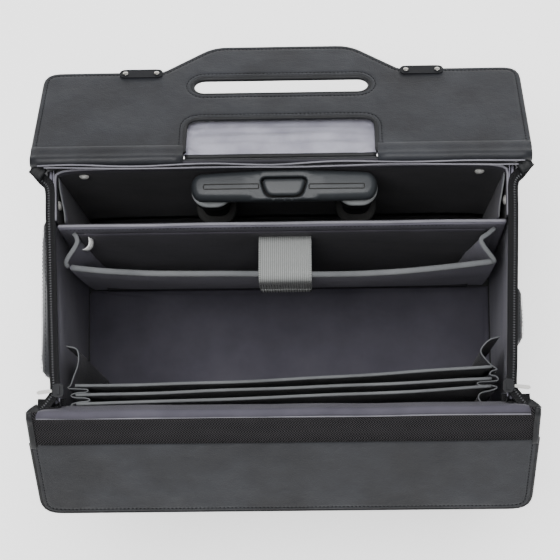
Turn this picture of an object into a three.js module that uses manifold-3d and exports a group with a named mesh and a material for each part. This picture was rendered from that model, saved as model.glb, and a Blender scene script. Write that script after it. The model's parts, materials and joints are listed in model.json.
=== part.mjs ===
// Pilot rolling flight case, standing upright with both lids folded outwards.
// Millimetres, +X to the case's right, +Y to the trolley side, +Z up, floor at z = 0.
import * as THREE from 'three';
import { mergeVertices } from 'three/addons/utils/BufferGeometryUtils.js';
import Module from 'manifold-3d';

const wasm = await Module();
wasm.setup();

// ---- driving dimensions ----
const LID_HALF = 240; // half the width of both lids
const PANEL_HALF = 236; // half the width of the front and rear panels
const HINGE_Y = 122.5; // outer faces of the front and rear panels, and both hinge lines
const RIM_Z = 375; // top of the case body
const BOTTOM_Z = 32; // underside of the base board
const BOARD = 5.2; // thickness of a covered panel
const GAP = 0.4; // clearance between touching pieces

const FRONT_OPEN = 50; // degrees that the open front lid hangs below level
const FRONT_LENGTH = 133;
const BAND_LENGTH = 33;
const REAR_OPEN = 35; // degrees that the open rear flap hangs below level
const SHOULDER_LENGTH = 130;
const HANDLE_LENGTH = 168;
const FLAP_THICK = 5.5;
const REAR_HINGE_Z = RIM_Z + 8;
const LOCK_X = 139.5; // distance of each lock from the middle

const SIDE_BOTTOM_HALF = 230; // outer faces of the side panels at the base
const SIDE_REAR_HALF = 226; // and at the rim, by the rear panel
const SIDE_FRONT_HALF = 218; // and at the rim, by the front panel
const SIDE_TOP_Z = 357;
const SIDE_FRONT_Y = -108; // the loose front end of a side panel's rim

const GRIP_Y = 97.5;
const GRIP_TOP_Z = 373;
const TROLLEY_X = 3; // the trolley sits a little right of the middle
const TUBE_X = 70;
const WHEEL_RADIUS = 27;
const WHEEL_X = 193;
const AXLE_Y = 97.5;

const sides = [['left', -1], ['right', 1]];

// ---- materials ----
const finish = (color, roughness, metalness = 0) =>
  new THREE.MeshStandardMaterial({ color, roughness, metalness });
const materials = {
  leatherette: finish(0x3b3c41, 0.55),
  lining: finish(0x65636b, 0.8),
  satin: finish(0xa5a4b0, 0.5),
  webbing: finish(0x2b2b2d, 0.85),
  strap: finish(0xa0a1a1, 0.8),
  zipper: finish(0x232326, 0.7),
  moulding: finish(0x3a3b3f, 0.5),
  rubber: finish(0x1d1d1f, 0.9),
  button: finish(0x4a4b50, 0.45),
  aluminium: finish(0xb5b7ba, 0.35, 0.9),
  steel: finish(0xc9c9c6, 0.25, 1),
  blackMetal: finish(0x26272a, 0.4, 0.8),
};

// ---- geometry helpers ----
function box([x0, x1], [y0, y1], [z0, z1]) {
  const geometry = new THREE.BoxGeometry(x1 - x0, y1 - y0, z1 - z0);
  return geometry.translate((x0 + x1) / 2, (y0 + y1) / 2, (z0 + z1) / 2);
}

// Orders a pair of X values after they are mirrored to one side.
const span = (side, a, b) => [Math.min(side * a, side * b), Math.max(side * a, side * b)];

function signedVolume(points, faces) {
  let total = 0;
  for (const [a, b, c] of faces) {
    const [p, q, r] = [points[a], points[b], points[c]].map((v) => new THREE.Vector3(...v));
    total += p.dot(q.cross(r)) / 6;
  }
  return total;
}

// A solid through rings of the same number of points, closed by a flat cap on each end.
function loft(rings) {
  const count = rings[0].length;
  const points = rings.flat();
  const faces = [];
  for (let level = 0; level < rings.length - 1; level += 1) {
    for (let i = 0; i < count; i += 1) {
      const next = (i + 1) % count;
      const low = level * count;
      const high = low + count;
      faces.push([low + i, low + next, high + next], [low + i, high + next, high + i]);
    }
  }
  const spread = [0, 1, 2].map((axis) => {
    const values = rings[0].map((point) => point[axis]);
    return Math.max(...values) - Math.min(...values);
  });
  const flat = spread.indexOf(Math.min(...spread));
  const [u, v] = [0, 1, 2].filter((axis) => axis !== flat);
  const contour = rings[0].map((point) => new THREE.Vector2(point[u], point[v]));
  const top = (rings.length - 1) * count;
  const turned = THREE.ShapeUtils.isClockWise(contour);
  for (const cap of THREE.ShapeUtils.triangulateShape(contour, [])) {
    const forward = THREE.ShapeUtils.isClockWise(cap.map((i) => contour[i])) === turned;
    const [a, b, c] = forward ? cap : cap.toReversed();
    faces.push([a, c, b], [top + a, top + b, top + c]);
  }
  if (signedVolume(points, faces) < 0) faces.forEach((face) => face.reverse());
  const geometry = new THREE.BufferGeometry();
  geometry.setAttribute('position', new THREE.Float32BufferAttribute(points.flat(), 3));
  geometry.setIndex(faces.flat());
  return geometry;
}

// The plan outline of a ribbon of the given thickness along a bent line.
function ribbon(line, thickness) {
  const offset = (sign) => line.map((point, i) => {
    const before = line[Math.max(i - 1, 0)];
    const after = line[Math.min(i + 1, line.length - 1)];
    const along = new THREE.Vector2(after[0] - before[0], after[1] - before[1]).normalize();
    const shift = (sign * thickness) / 2;
    return [point[0] - along.y * shift, point[1] + along.x * shift];
  });
  return [...offset(1), ...offset(-1).reverse()];
}

const lift = (outline, z) => outline.map(([x, y]) => [x, y, z]);

function outline(points, holes = []) {
  const shape = new THREE.Shape(points.map(([x, y]) => new THREE.Vector2(x, y)));
  shape.holes.push(...holes);
  return shape;
}

function plate(shape, z0, z1, curveSegments = 6) {
  const geometry = new THREE.ExtrudeGeometry(shape, { depth: z1 - z0, bevelEnabled: false, curveSegments });
  return geometry.translate(0, 0, z0);
}

// A rounded rectangle or an oblong centred on x, y.
function rounded(width, depth, radius, x = 0, y = 0) {
  const shape = new THREE.Shape();
  const [a, b] = [width / 2, depth / 2];
  const r = Math.min(radius, a, b);
  shape.moveTo(x - a + r, y - b);
  shape.lineTo(x + a - r, y - b);
  shape.absarc(x + a - r, y - b + r, r, -Math.PI / 2, 0);
  shape.lineTo(x + a, y + b - r);
  shape.absarc(x + a - r, y + b - r, r, 0, Math.PI / 2);
  shape.lineTo(x - a + r, y + b);
  shape.absarc(x - a + r, y + b - r, r, Math.PI / 2, Math.PI);
  shape.lineTo(x - a, y - b + r);
  shape.absarc(x - a + r, y - b + r, r, Math.PI, 1.5 * Math.PI);
  return shape;
}

function circle(radius, x, y) {
  const points = new THREE.Path().absarc(x, y, radius, 0, 2 * Math.PI, true).getPoints(4);
  return new THREE.Path(points.slice(0, -1));
}

function solid(geometry) {
  const bare = geometry.clone();
  bare.deleteAttribute('normal');
  bare.deleteAttribute('uv');
  const merged = mergeVertices(bare, 1e-4);
  return new wasm.Manifold(new wasm.Mesh({
    numProp: 3,
    vertProperties: merged.attributes.position.array,
    triVerts: new Uint32Array(merged.index.array),
  }));
}

function shapeOf(manifold) {
  const mesh = manifold.getMesh();
  const geometry = new THREE.BufferGeometry();
  geometry.setAttribute('position', new THREE.BufferAttribute(mesh.vertProperties, 3));
  geometry.setIndex(new THREE.BufferAttribute(mesh.triVerts, 1));
  return geometry;
}

const cut = (geometry, ...tools) =>
  shapeOf(tools.reduce((rest, tool) => rest.subtract(solid(tool)), solid(geometry)));
const join = (geometry, ...more) =>
  shapeOf(more.reduce((whole, piece) => whole.add(solid(piece)), solid(geometry)));

// A disc or rod along X, centred on y, z.
function rod(radius, [x0, x1], y, z, segments) {
  const geometry = new THREE.CylinderGeometry(radius, radius, x1 - x0, segments);
  return geometry.rotateZ(Math.PI / 2).translate((x0 + x1) / 2, y, z);
}

function add(parent, name, geometry, material) {
  const mesh = new THREE.Mesh(geometry, material);
  mesh.name = name;
  parent.add(mesh);
  return mesh;
}

const model = new THREE.Group();

// ---- base and floor ----
const BOARD_TOP = BOTTOM_Z + 7;
const WELL = { inner: 164, outer: 223, front: 65.6, top: 62 };

function buildBase() {
  const [wide, back] = [SIDE_BOTTOM_HALF - BOARD - GAP, HINGE_Y - BOARD - GAP];
  const edge = WELL.inner - GAP;
  const notch = WELL.front - GAP;
  const shape = outline([
    [-wide, -back], [wide, -back], [wide, notch], [edge, notch],
    [edge, back], [-edge, back], [-edge, notch], [-wide, notch],
  ]);
  add(model, 'base_board', plate(shape, BOTTOM_Z, BOARD_TOP), materials.leatherette);
  const pad = box([-wide + 1, wide - 1], [-back, 50], [BOARD_TOP + GAP, BOARD_TOP + 3.5]);
  add(model, 'floor_pad', pad, materials.lining);
}

function buildFeetAndWheels() {
  for (const [name, side] of sides) {
    const foot = new THREE.CylinderGeometry(20, 14, BOTTOM_Z - GAP, 16);
    foot.rotateX(Math.PI / 2).translate(side * 196, -92, (BOTTOM_Z - GAP) / 2);
    add(model, `front_foot_${name}`, foot, materials.rubber);

    const shell = box(
      span(side, WELL.inner, WELL.outer), [WELL.front, HINGE_Y], [BOTTOM_Z - 6, WELL.top]);
    const hollow = box(
      span(side, WELL.inner + 2.5, WELL.outer - 2.5), [WELL.front + 2.5, HINGE_Y + 1], [0, WELL.top - 2.5]);
    const bore = rod(3.4, span(side, 150, 240), AXLE_Y, WHEEL_RADIUS, 16);
    add(model, `wheel_housing_${name}`, cut(shell, hollow, bore), materials.moulding);

    const axle = rod(3, span(side, WELL.inner - 1, WELL.outer + 1), AXLE_Y, WHEEL_RADIUS, 16);
    add(model, `wheel_axle_${name}`, axle, materials.steel);

    const tyre = cut(
      rod(WHEEL_RADIUS, span(side, WHEEL_X - 12, WHEEL_X + 12), AXLE_Y, WHEEL_RADIUS, 40),
      rod(21, span(side, WHEEL_X - 20, WHEEL_X + 20), AXLE_Y, WHEEL_RADIUS, 40));
    add(model, `wheel_tyre_${name}`, tyre, materials.rubber);
    const hub = cut(
      rod(20.6, span(side, WHEEL_X - 11, WHEEL_X + 11), AXLE_Y, WHEEL_RADIUS, 40),
      rod(3.4, span(side, WHEEL_X - 20, WHEEL_X + 20), AXLE_Y, WHEEL_RADIUS, 16),
      ...Array.from({ length: 5 }, (_, i) => {
        const turn = (i * 2 * Math.PI) / 5;
        return rod(4.6, span(side, WHEEL_X - 20, WHEEL_X + 20),
          AXLE_Y + 12.5 * Math.cos(turn), WHEEL_RADIUS + 12.5 * Math.sin(turn), 12);
      }));
    add(model, `wheel_hub_${name}`, hub, materials.moulding);
  }
}

// ---- the four walls ----
function buildWalls() {
  const front = box([-PANEL_HALF, PANEL_HALF], [-HINGE_Y, -HINGE_Y + BOARD], [BOTTOM_Z, RIM_Z - 3]);
  add(model, 'front_panel', front, materials.leatherette);

  const [top, low] = [REAR_HINGE_Z - 4, WELL.top + GAP];
  const [near, far] = [WELL.inner - GAP, WELL.outer + GAP];
  const rear = box([-PANEL_HALF, PANEL_HALF], [HINGE_Y - BOARD, HINGE_Y], [BOTTOM_Z, top]);
  const notches = sides.map(([, side]) => box(span(side, near, far), [HINGE_Y - 20, HINGE_Y + 20], [0, low]));
  add(model, 'rear_panel', cut(rear, ...notches), materials.leatherette);

  const end = HINGE_Y - BOARD - GAP;
  for (const [name, side] of sides) {
    const ring = (frontHalf, frontY, rearHalf, z) => [
      [side * frontHalf, frontY, z], [side * rearHalf, end, z],
      [side * (rearHalf - BOARD), end, z], [side * (frontHalf - BOARD), frontY, z],
    ];
    const panel = loft([
      ring(SIDE_BOTTOM_HALF, -end, SIDE_BOTTOM_HALF, BOTTOM_Z),
      ring(SIDE_FRONT_HALF, SIDE_FRONT_Y, SIDE_REAR_HALF, SIDE_TOP_Z),
    ]);
    add(model, `${name}_side_panel`, panel, materials.leatherette);
  }
}

// Half of the outer width of the rim at a given y.
function rimHalf(y) {
  const share = (y - SIDE_FRONT_Y) / (HINGE_Y - BOARD - SIDE_FRONT_Y);
  return SIDE_FRONT_HALF + share * (SIDE_REAR_HALF - SIDE_FRONT_HALF);
}

const ZIP = { rearY: 112, frontY: -104, width: 11, rise: 7, thick: 1.5 };

function buildRimZips() {
  for (const [name, side] of sides) {
    const section = (y) => {
      const x = rimHalf(y) - 0.5;
      const low = SIDE_TOP_Z + GAP;
      const [inner, high] = [x - ZIP.width, low + ZIP.rise];
      const corners = [[x, low], [x, low + ZIP.thick], [inner, high + ZIP.thick], [inner, high]];
      return corners.map(([a, z]) => [side * a, y, z]);
    };
    add(model, `rim_zip_${name}`, loft([section(ZIP.frontY), section(ZIP.rearY)]), materials.zipper);

    // The loose web between a side panel's front edge and the front panel.
    const wallFront = -HINGE_Y + BOARD + GAP;
    const topLine = [[SIDE_FRONT_HALF - 2, SIDE_FRONT_Y - 1.5], [PANEL_HALF - 8, wallFront + 1]];
    const lowLine = [[SIDE_FRONT_HALF + 1, SIDE_FRONT_Y - 4], [PANEL_HALF - 12, wallFront + 1]];
    const web = loft([
      lift(ribbon(lowLine.map(([x, y]) => [side * x, y]), 1.2), 262),
      lift(ribbon(topLine.map(([x, y]) => [side * x, y]), 1.2), RIM_Z - 8),
    ]);
    add(model, `front_corner_web_${name}`, web, materials.zipper);
  }
}

// Where a pull hangs from its slider, and how steeply.
const PULL = { x: 5.9, z: 2.8, droop: THREE.MathUtils.degToRad(24) };

function buildZipSliders() {
  const toRear = new THREE.Vector2(rimHalf(ZIP.rearY) - rimHalf(ZIP.frontY), ZIP.rearY - ZIP.frontY);
  const yaw = Math.atan2(toRear.x, toRear.y);
  const pivotY = ZIP.frontY + 7;
  const seat = SIDE_TOP_Z + GAP + ZIP.rise + ZIP.thick + GAP;
  for (const [name, side] of sides) {
    const group = new THREE.Group();
    group.position.set(side * (rimHalf(pivotY) - 7), pivotY, seat);
    group.rotation.z = -side * yaw;
    model.add(group);
    const lower = plate(rounded(10, 13, 3.5), 0, 2.2, 4);
    const loop = box([-1.6, 1.6], [-4, 4], [2, 4]);
    add(group, `zip_slider_${name}`, join(lower, loop), materials.steel);
    const tab = [[0, -2.2], [4, -3], [16, -3], [18, 0], [16, 3], [4, 3], [0, 2.2]];
    const pull = plate(outline(tab.map(([x, y]) => [side * x, y])), -0.6, 0.6);
    pull.rotateY(side * PULL.droop).translate(side * PULL.x, 0, PULL.z);
    add(group, `zip_pull_${name}`, pull, materials.steel);
  }
}

// ---- the front lid, drawn closed and then swung open about its hinge line ----
function buildFrontLid() {
  const lid = new THREE.Group();
  lid.position.set(0, -HINGE_Y, RIM_Z);
  lid.rotation.x = THREE.MathUtils.degToRad(180 + FRONT_OPEN);
  model.add(lid);

  const band = box([-LID_HALF + 1, LID_HALF - 1], [7, BAND_LENGTH], [0.2, 2.4]);
  add(lid, 'front_band', band, materials.webbing);

  const start = BAND_LENGTH + GAP;
  const corner = 18;
  const shape = new THREE.Shape();
  shape.moveTo(-LID_HALF, start);
  shape.lineTo(LID_HALF, start);
  shape.lineTo(LID_HALF - 2, FRONT_LENGTH - corner);
  shape.quadraticCurveTo(LID_HALF - 2, FRONT_LENGTH, LID_HALF - 2 - corner, FRONT_LENGTH);
  shape.lineTo(-LID_HALF + 2 + corner, FRONT_LENGTH);
  shape.quadraticCurveTo(-LID_HALF + 2, FRONT_LENGTH, -LID_HALF + 2, FRONT_LENGTH - corner);
  add(lid, 'front_lid', plate(shape, 1, 5.5, 5), materials.leatherette);

  // Each lock sits on the outer face, with a sprung bolt that reaches past the rear flap's edge.
  for (const [name, side] of sides) {
    const body = plate(rounded(46, 22, 4, side * LOCK_X, 101), 5.5 + GAP, 15.8, 4);
    add(lid, `lock_body_${name}`, body, materials.steel);
    const tongue = plate(rounded(14, 22, 2.5, side * LOCK_X, 107.5), 15.8 + GAP, 18, 3);
    const knob = plate(rounded(12, 6, 2, side * LOCK_X, 101), 17.5, 21, 3);
    add(lid, `lock_bolt_${name}`, join(tongue, knob), materials.blackMetal);
  }
}

// ---- the rear flap with the hand slot, drawn closed and then swung open ----
function buildRearFlap() {
  const flap = new THREE.Group();
  flap.position.set(0, HINGE_Y, REAR_HINGE_Z);
  flap.rotation.x = THREE.MathUtils.degToRad(-180 - REAR_OPEN);
  model.add(flap);

  // Lengths from the hinge line run along -Y while the flap is closed.
  const start = 8;
  const [cutHalf, cutEnd, cutRadius] = [92.5, 58, 15];
  const corner = 17;
  const shape = new THREE.Shape();
  const to = (x, length) => shape.lineTo(x, -length);
  shape.moveTo(LID_HALF, -start);
  to(cutHalf, start);
  to(cutHalf, cutEnd - cutRadius);
  shape.quadraticCurveTo(cutHalf, -cutEnd, cutHalf - cutRadius, -cutEnd);
  to(-cutHalf + cutRadius, cutEnd);
  shape.quadraticCurveTo(-cutHalf, -cutEnd, -cutHalf, -cutEnd + cutRadius);
  to(-cutHalf, start);
  to(-LID_HALF, start);
  to(-LID_HALF + 3, SHOULDER_LENGTH - corner);
  shape.quadraticCurveTo(-LID_HALF + 3, -SHOULDER_LENGTH, -LID_HALF + 3 + corner, -SHOULDER_LENGTH);
  to(-118, SHOULDER_LENGTH);
  to(-78, HANDLE_LENGTH - 7);
  shape.quadraticCurveTo(-68, -HANDLE_LENGTH, -56, -HANDLE_LENGTH);
  to(56, HANDLE_LENGTH);
  shape.quadraticCurveTo(68, -HANDLE_LENGTH, 78, -HANDLE_LENGTH + 7);
  to(118, SHOULDER_LENGTH);
  to(LID_HALF - 3 - corner, SHOULDER_LENGTH);
  shape.quadraticCurveTo(LID_HALF - 3, -SHOULDER_LENGTH, LID_HALF - 3, -SHOULDER_LENGTH + corner);

  const rivetX = [LOCK_X - 15.5, LOCK_X + 15.5];
  const rivetLength = 124.5;
  const slot = new THREE.Path(rounded(177, 26, 13, 0, -107).getPoints(8));
  const rivetHoles = sides.flatMap(([, side]) => rivetX.map((x) => circle(2.3, side * x, -rivetLength)));
  shape.holes.push(slot, ...rivetHoles);
  const [inner, outer] = [0.8, 0.8 + FLAP_THICK];
  add(flap, 'rear_flap', plate(shape, inner, outer, 6), materials.leatherette);

  for (const [name, side] of sides) {
    // The strike wraps the shoulder's edge: a leg on each face, joined past the edge.
    const edge = SHOULDER_LENGTH + GAP;
    const [low, high] = [inner - GAP - 1.2, outer + GAP + 1];
    const innerLeg = plate(rounded(43, 12, 5, side * LOCK_X, -edge + 5), low, inner - GAP, 4);
    const outerLeg = plate(rounded(43, 12, 5, side * LOCK_X, -edge + 5), outer + GAP, high, 4);
    const fold = box(span(side, LOCK_X - 15, LOCK_X + 15), [-edge - 1.2, -edge], [low, high]);
    const rivets = rivetX.map((x) => {
      const pin = new THREE.CylinderGeometry(1.9, 1.9, FLAP_THICK + 2, 12);
      const head = new THREE.SphereGeometry(3.2, 12, 6).scale(1, 0.45, 1);
      head.translate(0, -FLAP_THICK / 2 - GAP - 1, 0);
      return join(pin, head).rotateX(Math.PI / 2).translate(side * x, -rivetLength, (inner + outer) / 2);
    });
    add(flap, `lock_strike_${name}`, join(innerLeg, outerLeg, fold, ...rivets), materials.blackMetal);
  }
}

const COVER = { y: HINGE_Y + 4.5, z: 368.4, length: 60, half: 98 };

function buildTrolleyCover() {
  const cover = new THREE.Group();
  cover.position.set(0, COVER.y, COVER.z);
  cover.rotation.x = THREE.MathUtils.degToRad(-REAR_OPEN);
  model.add(cover);
  add(cover, 'trolley_cover', box([-COVER.half, COVER.half], [1, COVER.length], [-2.2, 0]), materials.satin);
}

// ---- dividers, pockets and gussets ----
const DIVIDER = { back: 65, front: 59, topZ: 360 };
const POCKET = { topZ: 338, lowZ: 60, topFace: 14, lowFace: 48, thick: 4 };

function buildRearDivider() {
  const ring = (half, z) => lift([
    [-half, DIVIDER.front], [half, DIVIDER.front], [half, DIVIDER.back], [-half, DIVIDER.back]], z);
  const low = BOARD_TOP + GAP;
  add(model, 'rear_divider', loft([ring(221, low), ring(215, DIVIDER.topZ)]), materials.lining);
}

// The pocket panel's rear face at a given height.
function pocketBack(z) {
  const share = (z - POCKET.lowZ) / (POCKET.topZ - POCKET.lowZ);
  return POCKET.lowFace + share * (POCKET.topFace - POCKET.lowFace) + POCKET.thick;
}

function buildLaptopPocket() {
  const ring = (half, z) => {
    const back = pocketBack(z);
    const face = back - POCKET.thick;
    return lift([[-half, face], [half, face], [half, back], [-half, back]], z);
  };
  add(model, 'laptop_pocket_panel', loft([ring(216, POCKET.lowZ), ring(205, POCKET.topZ)]), materials.lining);

  for (const [name, side] of sides) {
    const level = (z, reach) => {
      const back = pocketBack(z) + 1.4;
      const face = DIVIDER.front - 1.2;
      const depth = face - back;
      const outer = rimHalf(40) - BOARD - 4;
      const line = [
        [outer, face], [outer - reach, face - depth * 0.3], [outer - reach * 0.15, face - depth * 0.7],
        [outer - reach * 0.4, back],
      ];
      return lift(ribbon(line.map(([x, y]) => [side * x, y]), 1.3), z);
    };
    add(model, `laptop_gusset_${name}`, loft([level(150, 9), level(POCKET.topZ + 6, 16)]), materials.lining);
  }
}

const STRAP = { half: 25, rootZ: 318, thick: 1.8, tabTop: 344, tabLow: 286 };

function buildLaptopStrap() {
  const over = POCKET.topZ + 2.5;
  const face = POCKET.topFace;
  // The side view of the strap as seen along X, in y and z.
  const line = [
    [DIVIDER.front - 1.3, STRAP.rootZ - 14], [DIVIDER.front - 1.5, STRAP.rootZ + 4], [46, STRAP.rootZ + 18],
    [30, over - 3], [20, over + 1], [face - 1, over + 1],
  ];
  const section = ribbon(line, STRAP.thick);
  const root = loft([-STRAP.half, STRAP.half].map((x) => section.map(([y, z]) => [x, y, z])));
  add(model, 'laptop_strap', root, materials.strap);
  const tab = box([-STRAP.half, STRAP.half], [face - 5.2, face - 3.4], [STRAP.tabLow, over + 0.5]);
  add(model, 'laptop_strap_tab', tab, materials.strap);
}

const FILES = { count: 3, firstY: -82.5, pitch: 10.2, skew: 6, half: 199, thick: 1.2, lowZ: 46, topZ: 340 };

function buildFileDividers() {
  for (let i = 0; i < FILES.count; i += 1) {
    const middle = FILES.firstY - FILES.pitch * i;
    const [left, right] = [middle - FILES.skew, middle + FILES.skew];
    const half = FILES.half - i;
    const panel = loft([FILES.lowZ, FILES.topZ].map((z) => lift([
      [-half, left], [half, right], [half, right + FILES.thick], [-half, left + FILES.thick]], z)));
    add(model, `file_divider_${i + 1}`, panel, materials.lining);
  }
  for (const [name, side] of sides) {
    const lean = side * FILES.skew;
    const wall = -HINGE_Y + BOARD;
    const folds = [[210.5, -48], [194, -55], [193, -70 + lean / 2], [204, FILES.firstY + lean + 1]];
    for (let i = 0; i < FILES.count; i += 1) {
      const y = FILES.firstY + lean - FILES.pitch * i;
      folds.push([209.5, y - FILES.pitch * 0.35]);
      folds.push([202.5, i < FILES.count - 1 ? y - FILES.pitch * 0.8 : Math.max(y - 6, wall + 3)]);
    }
    const strip = ribbon(folds.map(([x, y]) => [side * x, y]), 1);
    add(model, `file_gusset_${name}`, loft([lift(strip, 60), lift(strip, FILES.topZ - 2)]), materials.lining);
  }
}

// ---- the telescoping trolley ----
const STAGE = {
  outer: { width: 27, depth: 18, wall: 1.4, low: BOARD_TOP + 12, high: 342 },
  middle: { width: 23.2, depth: 14.2, wall: 1.3, low: 60, high: 344 },
  inner: { width: 19.6, depth: 10.6, wall: 1.2, low: 66, high: 354 },
};

function tube({ width, depth, wall, low, high }, x) {
  const shape = rounded(width, depth, depth / 2, x, GRIP_Y);
  const bore = rounded(width - 2 * wall, depth - 2 * wall, depth / 2 - wall, x, GRIP_Y);
  shape.holes.push(new THREE.Path(bore.getPoints(4)));
  return plate(shape, low, high, 4);
}

function buildTrolley() {
  const bracket = box([TROLLEY_X - 92, TROLLEY_X + 92], [GRIP_Y - 12, GRIP_Y + 12], [BOARD_TOP + GAP, STAGE.outer.low - GAP]);
  add(model, 'trolley_bracket', bracket, materials.moulding);

  for (const [name, side] of sides) {
    const x = TROLLEY_X + side * TUBE_X;
    const collar = rounded(35, 26, 13, x, GRIP_Y);
    const mouth = rounded(STAGE.middle.width + 0.8, STAGE.middle.depth + 0.8, 7.5, x, GRIP_Y);
    collar.holes.push(new THREE.Path(mouth.getPoints(4)));
    const outer = join(tube(STAGE.outer, x), plate(collar, STAGE.outer.high - 8, STAGE.outer.high + 1.5, 4));
    add(model, `trolley_outer_tube_${name}`, outer, materials.blackMetal);
    add(model, `trolley_middle_tube_${name}`, tube(STAGE.middle, x), materials.aluminium);
    add(model, `trolley_inner_tube_${name}`, tube(STAGE.inner, x), materials.aluminium);
  }

  const low = STAGE.inner.high + GAP;
  const grip = plate(rounded(178, 32, 15, TROLLEY_X, GRIP_Y), low, GRIP_TOP_Z, 6);
  const well = plate(rounded(44, 19, 9, TROLLEY_X, GRIP_Y), GRIP_TOP_Z - 7, GRIP_TOP_Z + 5, 6);
  add(model, 'trolley_grip', cut(grip, well), materials.moulding);
  const button = plate(rounded(42, 17, 8, TROLLEY_X, GRIP_Y), GRIP_TOP_Z - 2.5, GRIP_TOP_Z + 0.8, 6);
  add(model, 'trolley_button', button, materials.button);
}

// ---- small hardware and the outside pockets ----
function buildSnaps() {
  const dome = () => {
    const profile = [[0, 0], [6, 0], [6, 0.8], [5, 1.8], [2.4, 2.6], [0, 2.6]];
    return new THREE.LatheGeometry(profile.map(([r, h]) => new THREE.Vector2(r, h)), 16);
  };
  for (const [name, side] of sides) {
    const onRear = dome().rotateX(Math.PI).translate(side * 192, HINGE_Y - BOARD - GAP, 340);
    add(model, `rear_snap_${name}`, onRear, materials.steel);
    const wallX = rimHalf(86) - BOARD - 0.2;
    const onSide = dome().rotateZ(side * Math.PI / 2).translate(side * wallX, 86, 340);
    add(model, `side_snap_${name}`, onSide, materials.steel);
  }
}

function buildSidePockets() {
  // A pocket stands further out at its top than at its foot.
  const pocket = (side, [foot, top], [y0, y1], [z0, z1]) => {
    const wall = (z) => {
      const share = (z - BOTTOM_Z) / (SIDE_TOP_Z - BOTTOM_Z);
      return SIDE_BOTTOM_HALF + GAP - share * (SIDE_BOTTOM_HALF - SIDE_REAR_HALF);
    };
    const ring = (z, bulge) => lift([
      [side * wall(z), y0], [side * (wall(z) + bulge * 0.5), y0], [side * (wall(z) + bulge), y0 + 10],
      [side * (wall(z) + bulge), y1 - 10], [side * (wall(z) + bulge * 0.5), y1], [side * wall(z), y1]], z);
    return loft([ring(z0, foot * 0.5), ring(z0 + 14, foot), ring(z1 - 10, top), ring(z1, top * 0.7)]);
  };
  add(model, 'side_pocket_left', pocket(-1, [9.5, 12.9], [-80, 84], [70, 310]), materials.leatherette);
  add(model, 'side_pocket_right', pocket(1, [8, 8], [-52, 10], [150, 310]), materials.leatherette);
}

buildBase();
buildFeetAndWheels();
buildWalls();
buildRimZips();
buildZipSliders();
buildFrontLid();
buildRearFlap();
buildTrolleyCover();
buildRearDivider();
buildLaptopPocket();
buildLaptopStrap();
buildFileDividers();
buildTrolley();
buildSnaps();
buildSidePockets();

// The origin is on the floor, under the middle of the open case.
model.updateMatrixWorld(true);
const footprint = new THREE.Box3().setFromObject(model, true);
const middle = footprint.getCenter(new THREE.Vector3());
model.position.set(-middle.x, -middle.y, 0);

export default model;
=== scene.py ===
import json
import math

import bpy
import numpy as np
from mathutils import Matrix, Vector
from mathutils.geometry import delaunay_2d_cdt


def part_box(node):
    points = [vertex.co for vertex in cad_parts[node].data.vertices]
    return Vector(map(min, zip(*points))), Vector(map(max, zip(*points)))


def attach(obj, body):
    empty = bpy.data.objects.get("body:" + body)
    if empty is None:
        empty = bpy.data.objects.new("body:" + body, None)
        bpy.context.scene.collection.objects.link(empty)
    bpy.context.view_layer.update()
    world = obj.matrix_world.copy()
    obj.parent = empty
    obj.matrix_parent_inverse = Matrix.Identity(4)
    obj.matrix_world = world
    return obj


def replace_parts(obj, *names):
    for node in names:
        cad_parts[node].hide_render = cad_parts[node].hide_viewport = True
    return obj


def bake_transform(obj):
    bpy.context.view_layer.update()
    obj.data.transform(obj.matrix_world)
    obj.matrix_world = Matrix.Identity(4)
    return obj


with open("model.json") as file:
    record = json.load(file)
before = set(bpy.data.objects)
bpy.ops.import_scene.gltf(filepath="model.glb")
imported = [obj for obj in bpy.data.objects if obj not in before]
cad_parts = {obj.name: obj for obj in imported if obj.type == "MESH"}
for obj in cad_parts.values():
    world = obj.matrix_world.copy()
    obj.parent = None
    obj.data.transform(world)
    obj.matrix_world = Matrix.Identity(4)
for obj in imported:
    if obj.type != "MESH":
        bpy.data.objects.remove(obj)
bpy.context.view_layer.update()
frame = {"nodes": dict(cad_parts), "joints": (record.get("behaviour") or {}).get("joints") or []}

# ---- sizes: millimetres measured from the middle between the two lid hinges ----
MM = 0.001
joints = {joint["name"]: joint for joint in frame["joints"]}
front_pin = joints["front_lid_hinge"]["pos_m"]
rear_pin = joints["rear_flap_hinge"]["pos_m"]
cover_pin = joints["trolley_cover_hinge"]["pos_m"]
MIDDLE_Y = (front_pin[1] + rear_pin[1]) / 2 / MM
HINGE_Y = (rear_pin[1] - front_pin[1]) / 2 / MM
RIM_Z = front_pin[2] / MM
REAR_HINGE_Z = rear_pin[2] / MM
COVER_Y = cover_pin[1] / MM - MIDDLE_Y
COVER_Z = cover_pin[2] / MM
FRONT_OPEN = math.radians(50)  # how far the open front lid hangs below level
REAR_OPEN = math.radians(35)
BOARD = 5.2  # thickness of a covered wall
BOTTOM_Z = 32
LID_HALF = 240
PANEL_HALF = 236
SIDE_TOP_Z = 357
SIDE_BOTTOM_HALF = 230
SIDE_REAR_HALF = 226
SIDE_FRONT_HALF = 218
SIDE_FRONT_Y = -108
LOCK_X = 139.5
GRIP_Y = 97.5
TUBE_X = 70
TROLLEY_X = sum(corner.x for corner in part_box("trolley_grip")) / 2 / MM


# ---- places ----
def case(x, y, z):
    """Metres in the row frame, for millimetres measured from the middle of the case."""
    return np.stack(np.broadcast_arrays(x, np.asarray(y, float) + MIDDLE_Y, z), -1) * MM


def in_case(rows):
    """Metres in the row frame, for a grid of points x, y, z in the case's millimetres."""
    return case(rows[..., 0], rows[..., 1], rows[..., 2])


def on_front_lid(x, u, w):
    """A point u along the open front lid from its hinge line and w through it."""
    cos, sin = math.cos(FRONT_OPEN), math.sin(FRONT_OPEN)
    return case(x, -HINGE_Y - cos * u + sin * w, RIM_Z - sin * u - cos * w)


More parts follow.
